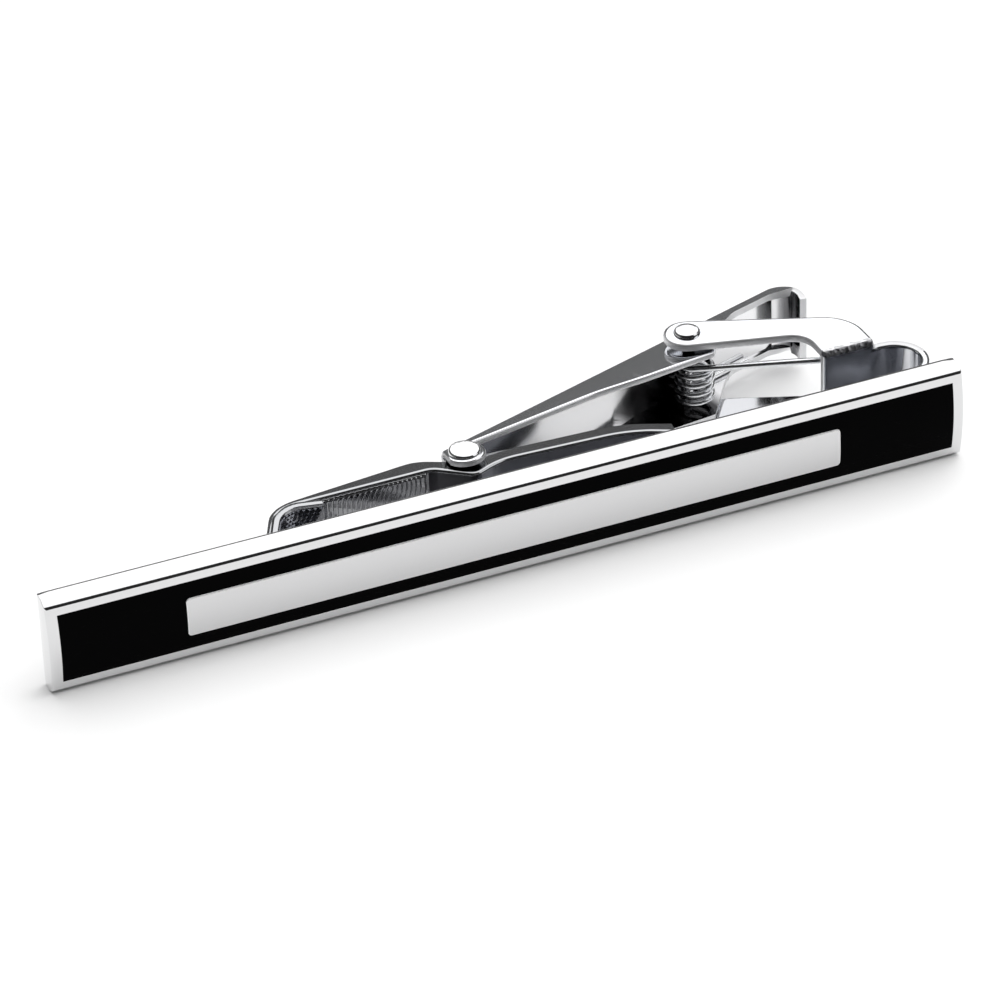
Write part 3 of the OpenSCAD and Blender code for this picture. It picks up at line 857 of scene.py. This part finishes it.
def flange_outline():
    """The lever's flange from its tip, along the back and round the curl, and home along the front."""
    tip = jaw_local.x - LEVER_END
    tab = arc(jaw_local, TAB_RADIUS, *TAB_SWEEP, TAB_STEPS)
    front = [(along, LEVER_BACK - depth) for along, depth, _ in FLANGE_FRONT]
    corners = [(tip, LEVER_BACK), *crescent, *front, *tab]
    roundings = [radius for _, _, radius in FLANGE_FRONT]
    radii = [0] * (1 + len(crescent)) + roundings + [0] * len(tab)
    return corners, radii


print("a flange has", len(flange_outline()[0]), "corners before they are rounded")

# %% Lean and tilt
FLANGE_LEAN = 4.5
LEAN_FROM = 0.8
WEB_TILT = 5
TILT_FULL = -6
TILT_NONE = -3.5


def lever_lean(x, y):
    """How far a flange has come in at a place on it. The curl past its end keeps level."""
    held = max(y, crescent[-1].y) if x > THUMB_REACH - THUMB_RADIUS else y
    return math.tan(math.radians(FLANGE_LEAN)) * (held - LEAN_FROM)


def web_tilt(x):
    """How far the web's lower fold stands forward of the upper one, up to where the tilt has faded."""
    share = min(1, max(0, (TILT_NONE - x) / (TILT_NONE - TILT_FULL)))
    return 2 * lever_half * math.tan(math.radians(WEB_TILT)) * share


print("the web's lower fold stands forward by", round(web_tilt(TILT_FULL), 3), "mm at most")

# %% Shaded inside
# Painted shade: tones along the lever's inside, dark behind the coil and in the curl.
SHADE_TONE = (0.06, 0.06, 0.062, 1)
CLEAR_TONE = (0.82, 0.82, 0.83, 1)
CURL_TONE = (0.14, 0.14, 0.145, 1)
SHADE_STOPS = [(-5.5, CLEAR_TONE), (-3.58, SHADE_TONE), (1.05, SHADE_TONE), (2.2, CLEAR_TONE),
               (8.55, CLEAR_TONE), (9.2, CURL_TONE)]


def shaded_inside():
    """Plating painted dark along the channel, behind the coil and in the curl, as painted shade."""
    material, tree, shader = new_material("painted shade inside")
    shader.inputs["Metallic"].default_value = 1
    shader.inputs["Roughness"].default_value = 0.12
    where = add_node(tree, "ShaderNodeTexCoord", (-900, 0))
    along = add_node(tree, "ShaderNodeVectorMath", (-700, 0), operation="DOT_PRODUCT")
    along.inputs[1].default_value = lever_along
    start = lever_pivot.dot(lever_along)
    (first, first_tone), *between, (last, last_tone) = SHADE_STOPS
    reach = map_range(tree, (-500, 0), given=((start + first) * MM, (start + last) * MM))
    tone = add_node(tree, "ShaderNodeValToRGB", (-300, 0))
    ramp = tone.color_ramp.elements
    ramp[0].color, ramp[1].color = first_tone, last_tone
    for stop, stop_tone in between:
        ramp.new((stop - first) / (last - first)).color = stop_tone
    tree.links.new(where.outputs["Object"], along.inputs[0])
    tree.links.new(along.outputs["Value"], reach.inputs["Value"])
    tree.links.new(reach.outputs["Result"], tone.inputs["Fac"])
    tree.links.new(tone.outputs["Color"], shader.inputs["Base Color"])
    return material


painted_shade_inside = shaded_inside()
print(painted_shade_inside.name, "has", len(SHADE_STOPS), "stops along the lever")

# %% Lever
LEVER_SHEET = 0.44
LEVER_ROLL = 0.2
ROLL_ENDS = 3.2
FOLD_STEPS = 4
MERGE_REACH = 0.04
THUMB_LIP = 0.5
FLANGE_FOLD = 0.22
TILT_STEPS = 6


def lever_mesh():
    """The lever's outer skin, in its own frame: flanges, web and curl, then the folds, lean and tilt."""
    bm = bmesh.new()
    bm.edges.layers.float.new(WEIGHTS)
    corners, radii = flange_outline()
    for side in (-1, 1):
        add_to(bm, outline_face(corners, middle_z + side * lever_half, radii))
    backs = edges_where(bm, lambda co: near(co.y, LEVER_BACK))
    bmesh.ops.bridge_loops(bm, edges=backs)
    end = edges_where(bm, lambda co: near(co.y, LEVER_BACK) and near(co.x, THUMB_REACH))[0]
    last = spin_edge(bm, end, (*curl_centre, middle_z), (0, 0, 1), -THUMB_TURN, CURL_STEPS)
    turn = math.radians(THUMB_TURN)
    extrude_edge(bm, last, (THUMB_LIP * math.cos(turn), -THUMB_LIP * math.sin(turn), 0))
    bmesh.ops.remove_doubles(bm, verts=bm.verts[:], dist=1e-4)
    faces_up(bm, lambda co: near(co.z, middle_z + lever_half, SLACK), (0, 0, 1))
    folds = [e for e in edges_where(bm, lambda co: near(co.y, LEVER_BACK)) if len(e.link_faces) == 2
             and near(e.verts[0].co.z, e.verts[1].co.z)]
    bmesh.ops.bevel(bm, geom=folds, offset=FLANGE_FOLD, offset_type="OFFSET", affect="EDGES",
                    segments=FOLD_STEPS, profile=0.5, material=-1)
    for i in range(TILT_STEPS + 1):
        cut_across(bm, (TILT_FULL + (TILT_NONE - TILT_FULL) * i / TILT_STEPS, 0, 0), (1, 0, 0))
    bmesh.ops.remove_doubles(bm, verts=bm.verts[:], dist=MERGE_REACH)
    upper = edges_where(bm, lambda co: co.z > middle_z + lever_half / 2 and co.x < ROLL_ENDS)
    weigh(bm, [e for e in upper if e.is_boundary], 1)
    for vert in bm.verts:
        share = (vert.co.z - middle_z) / lever_half
        vert.co.z -= share * lever_lean(vert.co.x, vert.co.y)
        if vert.co.z < middle_z and vert.co.y > LEVER_BACK - FLANGE_FOLD - SLACK:
            vert.co.y -= web_tilt(vert.co.x)
    return bm


lever_finishes = [clasp_plating, sheared_edge, painted_shade_inside]
lever_skin = lever_mesh()
lever = make_piece("lever_channel", lever_skin, "lever", lever_finishes, "lever", lever_frame)
thicken(lever, LEVER_SHEET, cut_edge=1, far_side=2)
soften_marked(lever, LEVER_ROLL, ROLL_STEPS, profile=GENTLE)
soften(lever, EDGE_BREAK, BREAK_STEPS)
keep_flat(lever)

# %% [markdown]
# ## Jaw
#
# The jaw is a strip of thinner sheet, bent into a wave: a curled tip, a toothed pad, a dip under the rivet
# and a long tail. Its plan is a line with rounded corners, which is extruded upwards into the strip.
# Flanges stand back from both of the strip's edges, and lean in by a few degrees, so they mirror the dim
# room and not the softbox. The jaw's plating is painted darker than the clasp's, the tail darker again, and
# the dip beside the pad nearly black, as painted shade.

# %% Line of the jaw
CURL_RADIUS = 2.2
PAD_RADIUS = 1.1
DIP_RADIUS = 0.7
ARCH_RADIUS = 4
SLOPE_RADIUS = 7
TIP_REACH = 14.4
TIP_GAP = 0.15
PAD_SETBACK = 2.1
PAD_HEIGHT = 4.5
PAD_REACH = 2.2
DIP_DEPTH = 1.93
ARCH_PLACE = (2, 3.5)
SLOPE_PLACE = (10.2, 3.0)
TAIL_PLACE = (12.9, 1.6)


def behind_bar(place):
    """A point at a reach from the jaw's rivet and a height behind the bar."""
    reach, height = place
    return Vector((jaw_pivot.x + reach, back_y + height))


tip = behind_bar((-TIP_REACH, TIP_GAP))
pad_start = Vector((tip.x + PAD_SETBACK, back_y + PAD_HEIGHT))
pad_end = behind_bar((-PAD_REACH, PAD_HEIGHT))
dip = Vector((jaw_pivot.x, jaw_pivot.y - DIP_DEPTH))
arch = behind_bar(ARCH_PLACE)
slope = behind_bar(SLOPE_PLACE)
tail = behind_bar(TAIL_PLACE)


def rounded_line(corners):
    """Points along a line of (corner, radius), with its corners drawn as arcs."""
    points = [corners[0][0]]
    for (before, _), (corner, radius), (after, _) in zip(corners, corners[1:], corners[2:]):
        inwards = (corner - before).normalized()
        onwards = (after - corner).normalized()
        turn = inwards.angle_signed(onwards)
        cut = radius * math.tan(abs(turn) / 2)
        side = math.copysign(1, turn)
        square = Vector((inwards.y, -inwards.x)) * side
        centre = corner - inwards * cut + square * radius
        start = math.degrees(math.atan2(-square.y, -square.x))
        points += arc(centre, radius, start, start - math.degrees(turn), CORNER_STEPS)
    return points + [corners[-1][0]]


jaw_line = rounded_line([
    (tip, 0), (pad_start, CURL_RADIUS), (pad_end, PAD_RADIUS), (dip, DIP_RADIUS), (arch, ARCH_RADIUS),
    (slope, SLOPE_RADIUS), (tail, 0)])
print("jaw line has", len(jaw_line), "points")

# %% Flanges of the jaw
JAW_SHEET = 0.3
JAW_LEAN = 4.5
FLANGE_DEPTH = 1.28
# Places on the flanges' rear edge, from the tip, the pad's end, the rivet, the slope and the tail
SHOULDER = Vector((1.78, 0.235))
HIP = Vector((-0.55, FLANGE_DEPTH + 0.1))
NECK = Vector((-1.3, 0.55))
HUMP_RADIUS = 0.72
HUMP_SWEEP = (160, 20)
HUMP_STEPS = 8
NAPE = Vector((2, 0.1))
SLOPE_BACK = Vector((0, 1.1))
TAIL_BACK = Vector((0.1, 0.95))
SHOULDER_RADIUS = 2.8
HIP_RADIUS = 2.4
TIP_LAP = 0.03
lean_from = dip.y


def sideways(line, i):
    """Unit vector square to the line at a point, away from the bar."""
    along = (line[min(i + 1, len(line) - 1)] - line[max(i - 1, 0)]).normalized()
    return Vector((-along.y, along.x))


def jaw_lean(y):
    """How far the flanges have come in at a distance behind the dip."""
    return math.tan(math.radians(JAW_LEAN)) * max(0, y - lean_from)


def jaw_flange():
    """Front and back edges of a flange, from the tip to the tail."""
    shoulder = Vector((tip.x, pad_start.y)) + SHOULDER
    outer_tip = tip + sideways(jaw_line, 0) * (JAW_SHEET + TIP_LAP)
    rear = rounded_line([
        (outer_tip, 0), (shoulder, SHOULDER_RADIUS), (pad_end + HIP, HIP_RADIUS), (jaw_pivot.xy + NECK, 0)])
    hump = arc(jaw_pivot.xy, HUMP_RADIUS, *HUMP_SWEEP, HUMP_STEPS)
    rest = rounded_line([
        (jaw_pivot.xy + NAPE, 0), (slope + SLOPE_BACK, SLOPE_RADIUS), (tail + TAIL_BACK, 0)])
    return jaw_line, rear + hump + rest


print("a flange of the jaw has", sum(len(side) for side in jaw_flange()), "points")

# %% Jaw
JAW_FOLD = 0.22
UNSHADED_PAST_PAD = -0.2


def jaw_finish(face):
    """Index of a face's finish: plated on the pad and flanges, painted darker on the tail and nearly black
    in the dip, as painted shade.
    """
    place = face.calc_center_median().x
    if abs(face.normal.z) > 0.1 or place < pad_end.x + UNSHADED_PAST_PAD:
        return 0
    return 2 if place < jaw_pivot.x else 1


def jaw_mesh():
    """The jaw's skin: the strip and both flanges, folded and leaned in."""
    bm = strip_mesh(jaw_line, jaw_half, middle_z)
    front, rear = jaw_flange()
    for side in (-1, 1):
        loop = [(p.x, p.y) for p in front + rear[::-1]]
        add_to(bm, outline_face(loop, middle_z + side * jaw_half, [0] * len(loop)))
    bmesh.ops.remove_doubles(bm, verts=bm.verts[:], dist=1e-4)
    faces_up(bm, lambda co: near(co.z, middle_z + jaw_half), (0, 0, 1))
    folds = [e for e in bm.edges if len(e.link_faces) == 2 and e.calc_face_angle(0) > SHARP
             and near(e.verts[0].co.z, e.verts[1].co.z)]
    bmesh.ops.bevel(bm, geom=folds, offset=JAW_FOLD, offset_type="OFFSET", affect="EDGES",
                    segments=FOLD_STEPS, profile=0.5, material=-1)
    for face in bm.faces:
        face.material_index = jaw_finish(face)
    for vert in bm.verts:
        share = (vert.co.z - middle_z) / jaw_half
        vert.co.z -= share * jaw_lean(vert.co.y)
    return bm


jaw_finishes = [jaw_plating_painted_dark, shade_painted_plating, dip_painted_shade]
jaw = make_piece("jaw_strip", jaw_mesh(), "jaw", jaw_finishes, "jaw")
thicken(jaw, JAW_SHEET, even=False)
soften(jaw, EDGE_BREAK, BREAK_STEPS)
keep_flat(jaw)

# %% [markdown]
# ### Hem and teeth
#
# At the tip the sheet is folded back on itself, towards the bar, so that no sharp edge scratches the tie.
# The hem and the pad behind it are embossed with teeth. Each toothed panel is a grid laid along the jaw's
# line: poking every cell of the hem's grid makes small pyramids, and the pad has plain ribs.

# %% Hem
HEM_LENGTH = 7.3
HEM_LAP = 0.2
HEM_LIFT = 0.4
HEM_LIFTS_FROM = 5.6
HEM_STEPS = 24


def along_line(line, reach):
    """Point on a line at a length from its start, and the unit vector towards the bar there."""
    for a, b in zip(line, line[1:]):
        step = (b - a).length
        if reach <= step:
            break
        reach -= step
    onwards = (b - a).normalized()
    return a + onwards * reach, Vector((onwards.y, -onwards.x))


def hem_lift(reach):
    """How far the hem's end has sprung open, at a length from the tip."""
    share = min(1, max(0, (reach - HEM_LIFTS_FROM) / (HEM_LENGTH - HEM_LIFTS_FROM)))
    return HEM_LIFT * share


def hem_mesh():
    """The hem's outer skin, a strip that follows the jaw's line and springs open at its end."""
    points = []
    for i in range(HEM_STEPS + 1):
        reach = HEM_LENGTH * i / HEM_STEPS
        place, towards = along_line(jaw_line, reach)
        points.append(place + towards * (JAW_SHEET + hem_lift(reach)))
    bm = strip_mesh(points, jaw_half - jaw_lean(pad_start.y), middle_z)
    faces_up(bm, lambda co: True, (0, -1, 0))
    return bm


hem = make_piece("jaw_hem", hem_mesh(), "jaw", [jaw_plating_painted_dark])
thicken(hem, JAW_SHEET + HEM_LAP)
soften(hem, EDGE_BREAK, BREAK_STEPS)
keep_flat(hem)

# %% Teeth
TOOTH_PITCH = 0.34
TOOTH_HEIGHT = 0.09
TOOTH_SLANT = 1.4
RIB_SLANT = 0.7
RIB_WAVE = 0.12
PANEL_MARGIN = 0.12
HEM_ROWS = 12
PAD_ROWS = 10
PAD_LAP = 0.6
TOOTH_SHARP = 20


def length_of(line):
    """Length of a line of points."""
    return sum((b - a).length for a, b in zip(line, line[1:]))


def panel_mesh(start, stop, rows, slant, inset, pyramids):
    """A toothed grid on the jaw's bar side, from one length along its line to another."""
    columns = round((stop - start) / TOOTH_PITCH)
    bm = bmesh.new()
    bmesh.ops.create_grid(bm, x_segments=columns * (1 if pyramids else 2), y_segments=rows, size=0.5)
    if pyramids:
        bmesh.ops.poke(bm, faces=bm.faces[:], offset=1)
    else:
        for vert in bm.verts:
            vert.co.z = round((vert.co.x + 0.5) * columns * 2) % 2
    height = 2 * (jaw_half - jaw_lean(pad_start.y) - JAW_FOLD)
    for vert in bm.verts:
        across, level, rise = vert.co
        reach = start + (across + 0.5) * (stop - start) + slant * level
        if not pyramids:
            reach += RIB_WAVE * math.sin(math.tau * level + reach)
        place, towards = along_line(jaw_line, max(reach, 0))
        lift = hem_lift(reach) if pyramids else 0
        place += towards * (inset + lift + rise * TOOTH_HEIGHT)
        vert.co = (place.x, place.y, middle_z + level * height)
    faces_up(bm, lambda co: True, (0, -1, 0))
    return bm


half_slant = TOOTH_SLANT / 2
hem_panel = panel_mesh(half_slant, HEM_LENGTH - half_slant, HEM_ROWS, TOOTH_SLANT, JAW_SHEET, True)
# The hem's teeth take the darker plating, as painted shade.
hem_teeth = make_piece("hem_teeth", hem_panel, "jaw", [shade_painted_plating])
pad_points = CORNER_STEPS + 3
pad_stop = length_of(jaw_line[:pad_points]) - PANEL_MARGIN
pad_panel = panel_mesh(HEM_LENGTH - PAD_LAP, pad_stop, PAD_ROWS, RIB_SLANT, 0, False)
pad_teeth = make_piece("pad_teeth", pad_panel, "jaw", [jaw_plating_painted_dark])
for toothed in (hem_teeth, pad_teeth):
    thicken(toothed, PANEL_MARGIN)
    toothed.data.set_sharp_from_angle(angle=math.radians(TOOTH_SHARP))

# %% [markdown]
# ## Rivets
#
# A rivet is turned work: half of its section is drawn once and spun round its axis.

# %% Rivets
RIVET_RADIUS = 0.4
JAW_HEAD = 2.05
LEVER_HEAD = 1.7
LATHE_STEPS = 48
CROWN_STEPS = 4
RIM_TURNS = 12
RIM_SHARP = 40
HEAD_RISE = 0.25
HEAD_EDGE = 0.18
CROWN_RISE = 0.006


def lathe(profile, axis_at):
    """Spins a half section of (radius, height) points round an upright axis."""
    bm = bmesh.new()
    verts = [bm.verts.new((axis_at.x + r, axis_at.y, z)) for r, z in profile]
    edges = [bm.edges.new(pair) for pair in zip(verts, verts[1:])]
    bmesh.ops.spin(bm, geom=verts + edges, cent=(axis_at.x, axis_at.y, 0), axis=(0, 0, 1),
                   angle=math.tau, steps=LATHE_STEPS, use_merge=True)
    bmesh.ops.remove_doubles(bm, verts=bm.verts[:], dist=1e-5)
    bmesh.ops.recalc_face_normals(bm, faces=bm.faces[:])
    return bm


def head_profile(diameter, base, side):
    """Flattened head from its crown to its rim, above (1) or below (-1) its seat."""
    flat = diameter / 2 - HEAD_EDGE
    shoulder = HEAD_RISE - CROWN_RISE
    shares = [i / CROWN_STEPS for i in range(CROWN_STEPS)]
    crown = [(flat * share, HEAD_RISE - CROWN_RISE * share**2) for share in shares]
    turns = [math.radians(90 * i / RIM_TURNS) for i in range(RIM_TURNS + 1)]
    edge = [(flat + HEAD_EDGE * math.sin(t), shoulder * math.cos(t)) for t in turns]
    return [(r, base + side * z) for r, z in crown + edge]


def rivet_mesh(axis_at, half, diameter, both):
    """A rivet with a head on top, and one below as well where the sheet's lower face shows it."""
    top = head_profile(diameter, middle_z + half, 1)
    shank = [(RIVET_RADIUS, middle_z + half), (RIVET_RADIUS, middle_z - half)]
    low = list(reversed(head_profile(diameter, middle_z - half, -1))) if both else [(0, middle_z - half)]
    return lathe(top + shank + low, axis_at)


jaw_seat = lever_half - lever_lean(jaw_local.x, jaw_local.y)
rivets = [
    ("jaw_rivet", rivet_mesh(jaw_pivot, jaw_seat, JAW_HEAD, True), "lever"),
    ("lever_rivet", rivet_mesh(lever_pivot, ear_half, LEVER_HEAD, False), "bar"),
]
for node_name, turned_mesh, body in rivets:
    rivet = make_piece(node_name + "_turned", turned_mesh, body, [rivet_plating], node_name)
    rivet.data.set_sharp_from_angle(angle=math.radians(RIM_SHARP))
    keep_flat(rivet)

# %% [markdown]
# ## Spring
#
# The coil is one ring of wire, stood up and spun round the rivet with a rise at each step. Its two ends
# are extruded into straight legs, one along the lever and one to the back of the bracket's web. When the
# lever turns, the low end follows the lever and the high end stays with the bar.

# %% Spring
WIRE = 0.42
COIL_RADIUS = 1.1
COIL_TURNS = 4
COIL_LOW = 1.65
COIL_HIGH = 4.45
TURN_STEPS = 28
LEVER_LEG = 5.6
COIL_SHIFT = 0.28
WEB_LEG_RISE = 0.75
WEB_LEG_X = 24.5
WIRE_SIDES = 12
WIRE_SHARP = 50
COIL_CLEAR = 0.05
LEG_CLEAR = 0.02
coil_back = LEVER_BACK - LEVER_SHEET - COIL_RADIUS - WIRE / 2 - COIL_CLEAR
coil_centre = lever_pivot.xy + lever_normal.xy * coil_back + lever_along.xy * COIL_SHIFT
leg_foot = Vector((WEB_LEG_X, web_y + WIRE / 2 + LEG_CLEAR))


def leg(bm, ring, step):
    """Extrudes an end ring of the wire into a straight leg and closes its end."""
    made = bmesh.ops.extrude_edge_only(bm, edges=ring)["geom"]
    bmesh.ops.translate(bm, vec=step, verts=only(made, BMVert))
    close_rim(bm, [g for g in only(made, BMEdge) if g.is_boundary])


def spring_mesh():
    """The coil from the lever's leg up to the web's leg, as one tube."""
    first = 90 + LEVER_ANGLE
    last = touch_angle(leg_foot, coil_centre, COIL_RADIUS, -1) + 360
    sweep = last - first + 360 * COIL_TURNS
    steps = round(sweep / 360 * TURN_STEPS)
    rise = COIL_HIGH - COIL_LOW
    axis_at = Vector((coil_centre.x, coil_centre.y, COIL_LOW))
    bm = bmesh.new()
    bmesh.ops.create_circle(bm, segments=WIRE_SIDES, radius=WIRE / 2)
    stand = (Matrix.Translation(axis_at) @ Matrix.Rotation(math.radians(first), 4, "Z")
             @ Matrix.Translation((COIL_RADIUS, 0, 0)) @ Matrix.Rotation(math.radians(90), 4, "X"))
    bmesh.ops.transform(bm, matrix=stand, verts=bm.verts[:])
    start = bm.edges[:]
    made = bmesh.ops.spin(bm, geom=start, cent=axis_at, axis=(0, 0, 1), dvec=(0, 0, rise / steps),
                          angle=math.radians(sweep), steps=steps, use_duplicate=False)["geom_last"]
    end = only(made, BMEdge)
    leg(bm, start, lever_along * LEVER_LEG)
    leaves = polar(coil_centre, COIL_RADIUS, last)
    reach = leg_foot - leaves
    leg(bm, end, (reach.x, reach.y, WEB_LEG_RISE))
    bmesh.ops.recalc_face_normals(bm, faces=bm.faces[:])
    return bm


spring = make_piece("spring", spring_mesh(), None, [spring_wire], "torsion_spring")
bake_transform(spring, "lever", "bar", (0, 0, COIL_LOW * MM), (0, 0, COIL_HIGH * MM))
spring.data.set_sharp_from_angle(angle=math.radians(WIRE_SHARP))

# %% [markdown]
# ## Solder
#
# The layer of solder under the bracket's foot is already the right shape. It only needs its dull finish.

# %% Solder
solder_joint = frame["nodes"]["solder_joint"]
solder_joint.data.materials.clear()
solder_joint.data.materials.append(solder_metal)
print(solder_joint.name, "keeps its shape, with", len(solder_joint.data.vertices), "vertices")

# %% [markdown]
# ## Studio
#
# The clip stands on a white table under one big round softbox, overhead and a little behind it, with a
# smaller round card at the right front. The softbox is what the flat upper faces mirror. Everything else
# in the room is dim, darkest on the camera's side and low down, and that is what draws the thin dark lines
# along the rounded edges. Two soft lamps are there for the table, and don't show in the metal.

# %% Floor
FLOOR_HALF = 2.0


def floor_piece():
    """The white table, as part of the stage."""
    bm = bmesh.new()
    bmesh.ops.create_grid(bm, x_segments=1, y_segments=1, size=FLOOR_HALF)
    mesh = bpy.data.meshes.new("floor")
    bm.to_mesh(mesh)
    bm.free()
    material, _, shader = new_material("white table")
    shader.inputs["Base Color"].default_value = (0.86, 0.86, 0.86, 1)
    shader.inputs["Roughness"].default_value = 0.9
    shader.inputs["Specular IOR Level"].default_value = 0.1
    mesh.materials.append(material)
    floor = bpy.data.objects.new("floor", mesh)
    bpy.context.scene.collection.objects.link(floor)
    return floor


table = floor_piece()
print(table.name, "of", 2 * FLOOR_HALF, "m")

# %% Round lights
LIGHT_EDGE = 0.7
SMOOTH = "SMOOTHSTEP"


def round_light(tree, where, place, half_angle, strength, level):
    """A round light on the sky, at an azimuth and elevation. Returns its last node."""
    turn, climb = (math.radians(angle) for angle in place)
    aimed = add_node(tree, "ShaderNodeVectorMath", (-800, level), operation="DOT_PRODUCT")
    aimed.inputs[1].default_value = (
        math.sin(turn) * math.cos(climb), math.cos(turn) * math.cos(climb), math.sin(climb))
    edges = [math.cos(math.radians(half_angle + side * LIGHT_EDGE)) for side in (1, -1)]
    shape = map_range(tree, (-600, level), given=edges, result=(0, strength), kind=SMOOTH)
    tree.links.new(where.outputs["Generated"], aimed.inputs[0])
    tree.links.new(aimed.outputs["Value"], shape.inputs["Value"])
    return shape


# %% Softbox and room
SOFTBOX_PLACE = (22, 66)
SOFTBOX_HALF_ANGLE = 37
SOFTBOX_LIGHT = 1.5
CARD_PLACE = (116, 32)
CARD_HALF_ANGLE = 19
CARD_LIGHT = 1.2
ROOM_BACK = 0.14
ROOM_FRONT = 0.03
ROOM_TURNS = (-0.4, 0.4)
ROOM_LOW_SHARE = 0.45
ROOM_DIMS_FROM = 21
ROOM_DIM_AT = 12


def studio():
    """The room as a sky: softbox, card and dim walls. The camera sees plain white behind the table."""
    world = bpy.data.worlds.new("studio")
    bpy.context.scene.world = world
    world.use_nodes = True
    tree = world.node_tree
    tree.nodes.clear()
    where = add_node(tree, "ShaderNodeTexCoord", (-1000, 0))
    softbox = round_light(tree, where, SOFTBOX_PLACE, SOFTBOX_HALF_ANGLE, SOFTBOX_LIGHT, 200)
    card = round_light(tree, where, CARD_PLACE, CARD_HALF_ANGLE, CARD_LIGHT, -400)
    split = add_node(tree, "ShaderNodeSeparateXYZ", (-800, -150))
    room = map_range(tree, (-600, -150), given=ROOM_TURNS, result=(ROOM_FRONT, ROOM_BACK), kind=SMOOTH)
    dusk = [math.sin(math.radians(climb)) for climb in (ROOM_DIM_AT, ROOM_DIMS_FROM)]
    low = map_range(tree, (-600, -650), given=dusk, result=(ROOM_LOW_SHARE, 1), kind=SMOOTH)
    dimmed = add_node(tree, "ShaderNodeMath", (-400, -200), operation="MULTIPLY")
    lamps = add_node(tree, "ShaderNodeMath", (-400, 200), operation="ADD")
    total = add_node(tree, "ShaderNodeMath", (-400, 0), operation="ADD")
    light = add_node(tree, "ShaderNodeBackground", (-200, 100))
    white = add_node(tree, "ShaderNodeBackground", (-200, -100))
    path = add_node(tree, "ShaderNodeLightPath", (-200, 400))
    mix = add_node(tree, "ShaderNodeMixShader", (50, 0))
    result = add_node(tree, "ShaderNodeOutputWorld", (250, 0))
    link = tree.links.new
    link(softbox.outputs["Result"], lamps.inputs[0])
    link(card.outputs["Result"], lamps.inputs[1])
    link(where.outputs["Generated"], split.inputs[0])
    link(split.outputs["Y"], room.inputs["Value"])
    link(lamps.outputs[0], total.inputs[0])
    link(split.outputs["Z"], low.inputs["Value"])
    link(room.outputs["Result"], dimmed.inputs[0])
    link(low.outputs["Result"], dimmed.inputs[1])
    link(dimmed.outputs[0], total.inputs[1])
    link(total.outputs[0], light.inputs["Strength"])
    link(path.outputs["Is Camera Ray"], mix.inputs["Fac"])
    link(light.outputs[0], mix.inputs[1])
    link(white.outputs[0], mix.inputs[2])
    link(mix.outputs[0], result.inputs["Surface"])
    light.inputs["Color"].default_value = (1, 1, 1, 1)
    white.inputs["Color"].default_value = (1, 1, 1, 1)


studio()
bpy.context.scene.view_settings.view_transform = "Standard"
print("softbox at", SOFTBOX_PLACE, "and card at", CARD_PLACE)

# %% Table lights
TABLE_LIGHT_SIZE = 0.8
TABLE_LIGHTS = [((0, -0.2, 0.6), 2.7), ((0.45, 0.14, 0.34), 1.7)]


def table_light(place, power):
    """A soft light for the table, aimed at the clip. It doesn't show in the metal."""
    lamp = bpy.data.lights.new("table light", "AREA")
    lamp.shape = "DISK"
    lamp.size = TABLE_LIGHT_SIZE
    lamp.energy = power
    held = bpy.data.objects.new("table light", lamp)
    held.location = place
    held.rotation_euler = (-held.location).to_track_quat("-Z", "Y").to_euler()
    held.visible_glossy = False
    bpy.context.scene.collection.objects.link(held)


for place, power in TABLE_LIGHTS:
    table_light(place, power)
print(len(TABLE_LIGHTS), "table lights of", TABLE_LIGHT_SIZE, "m")
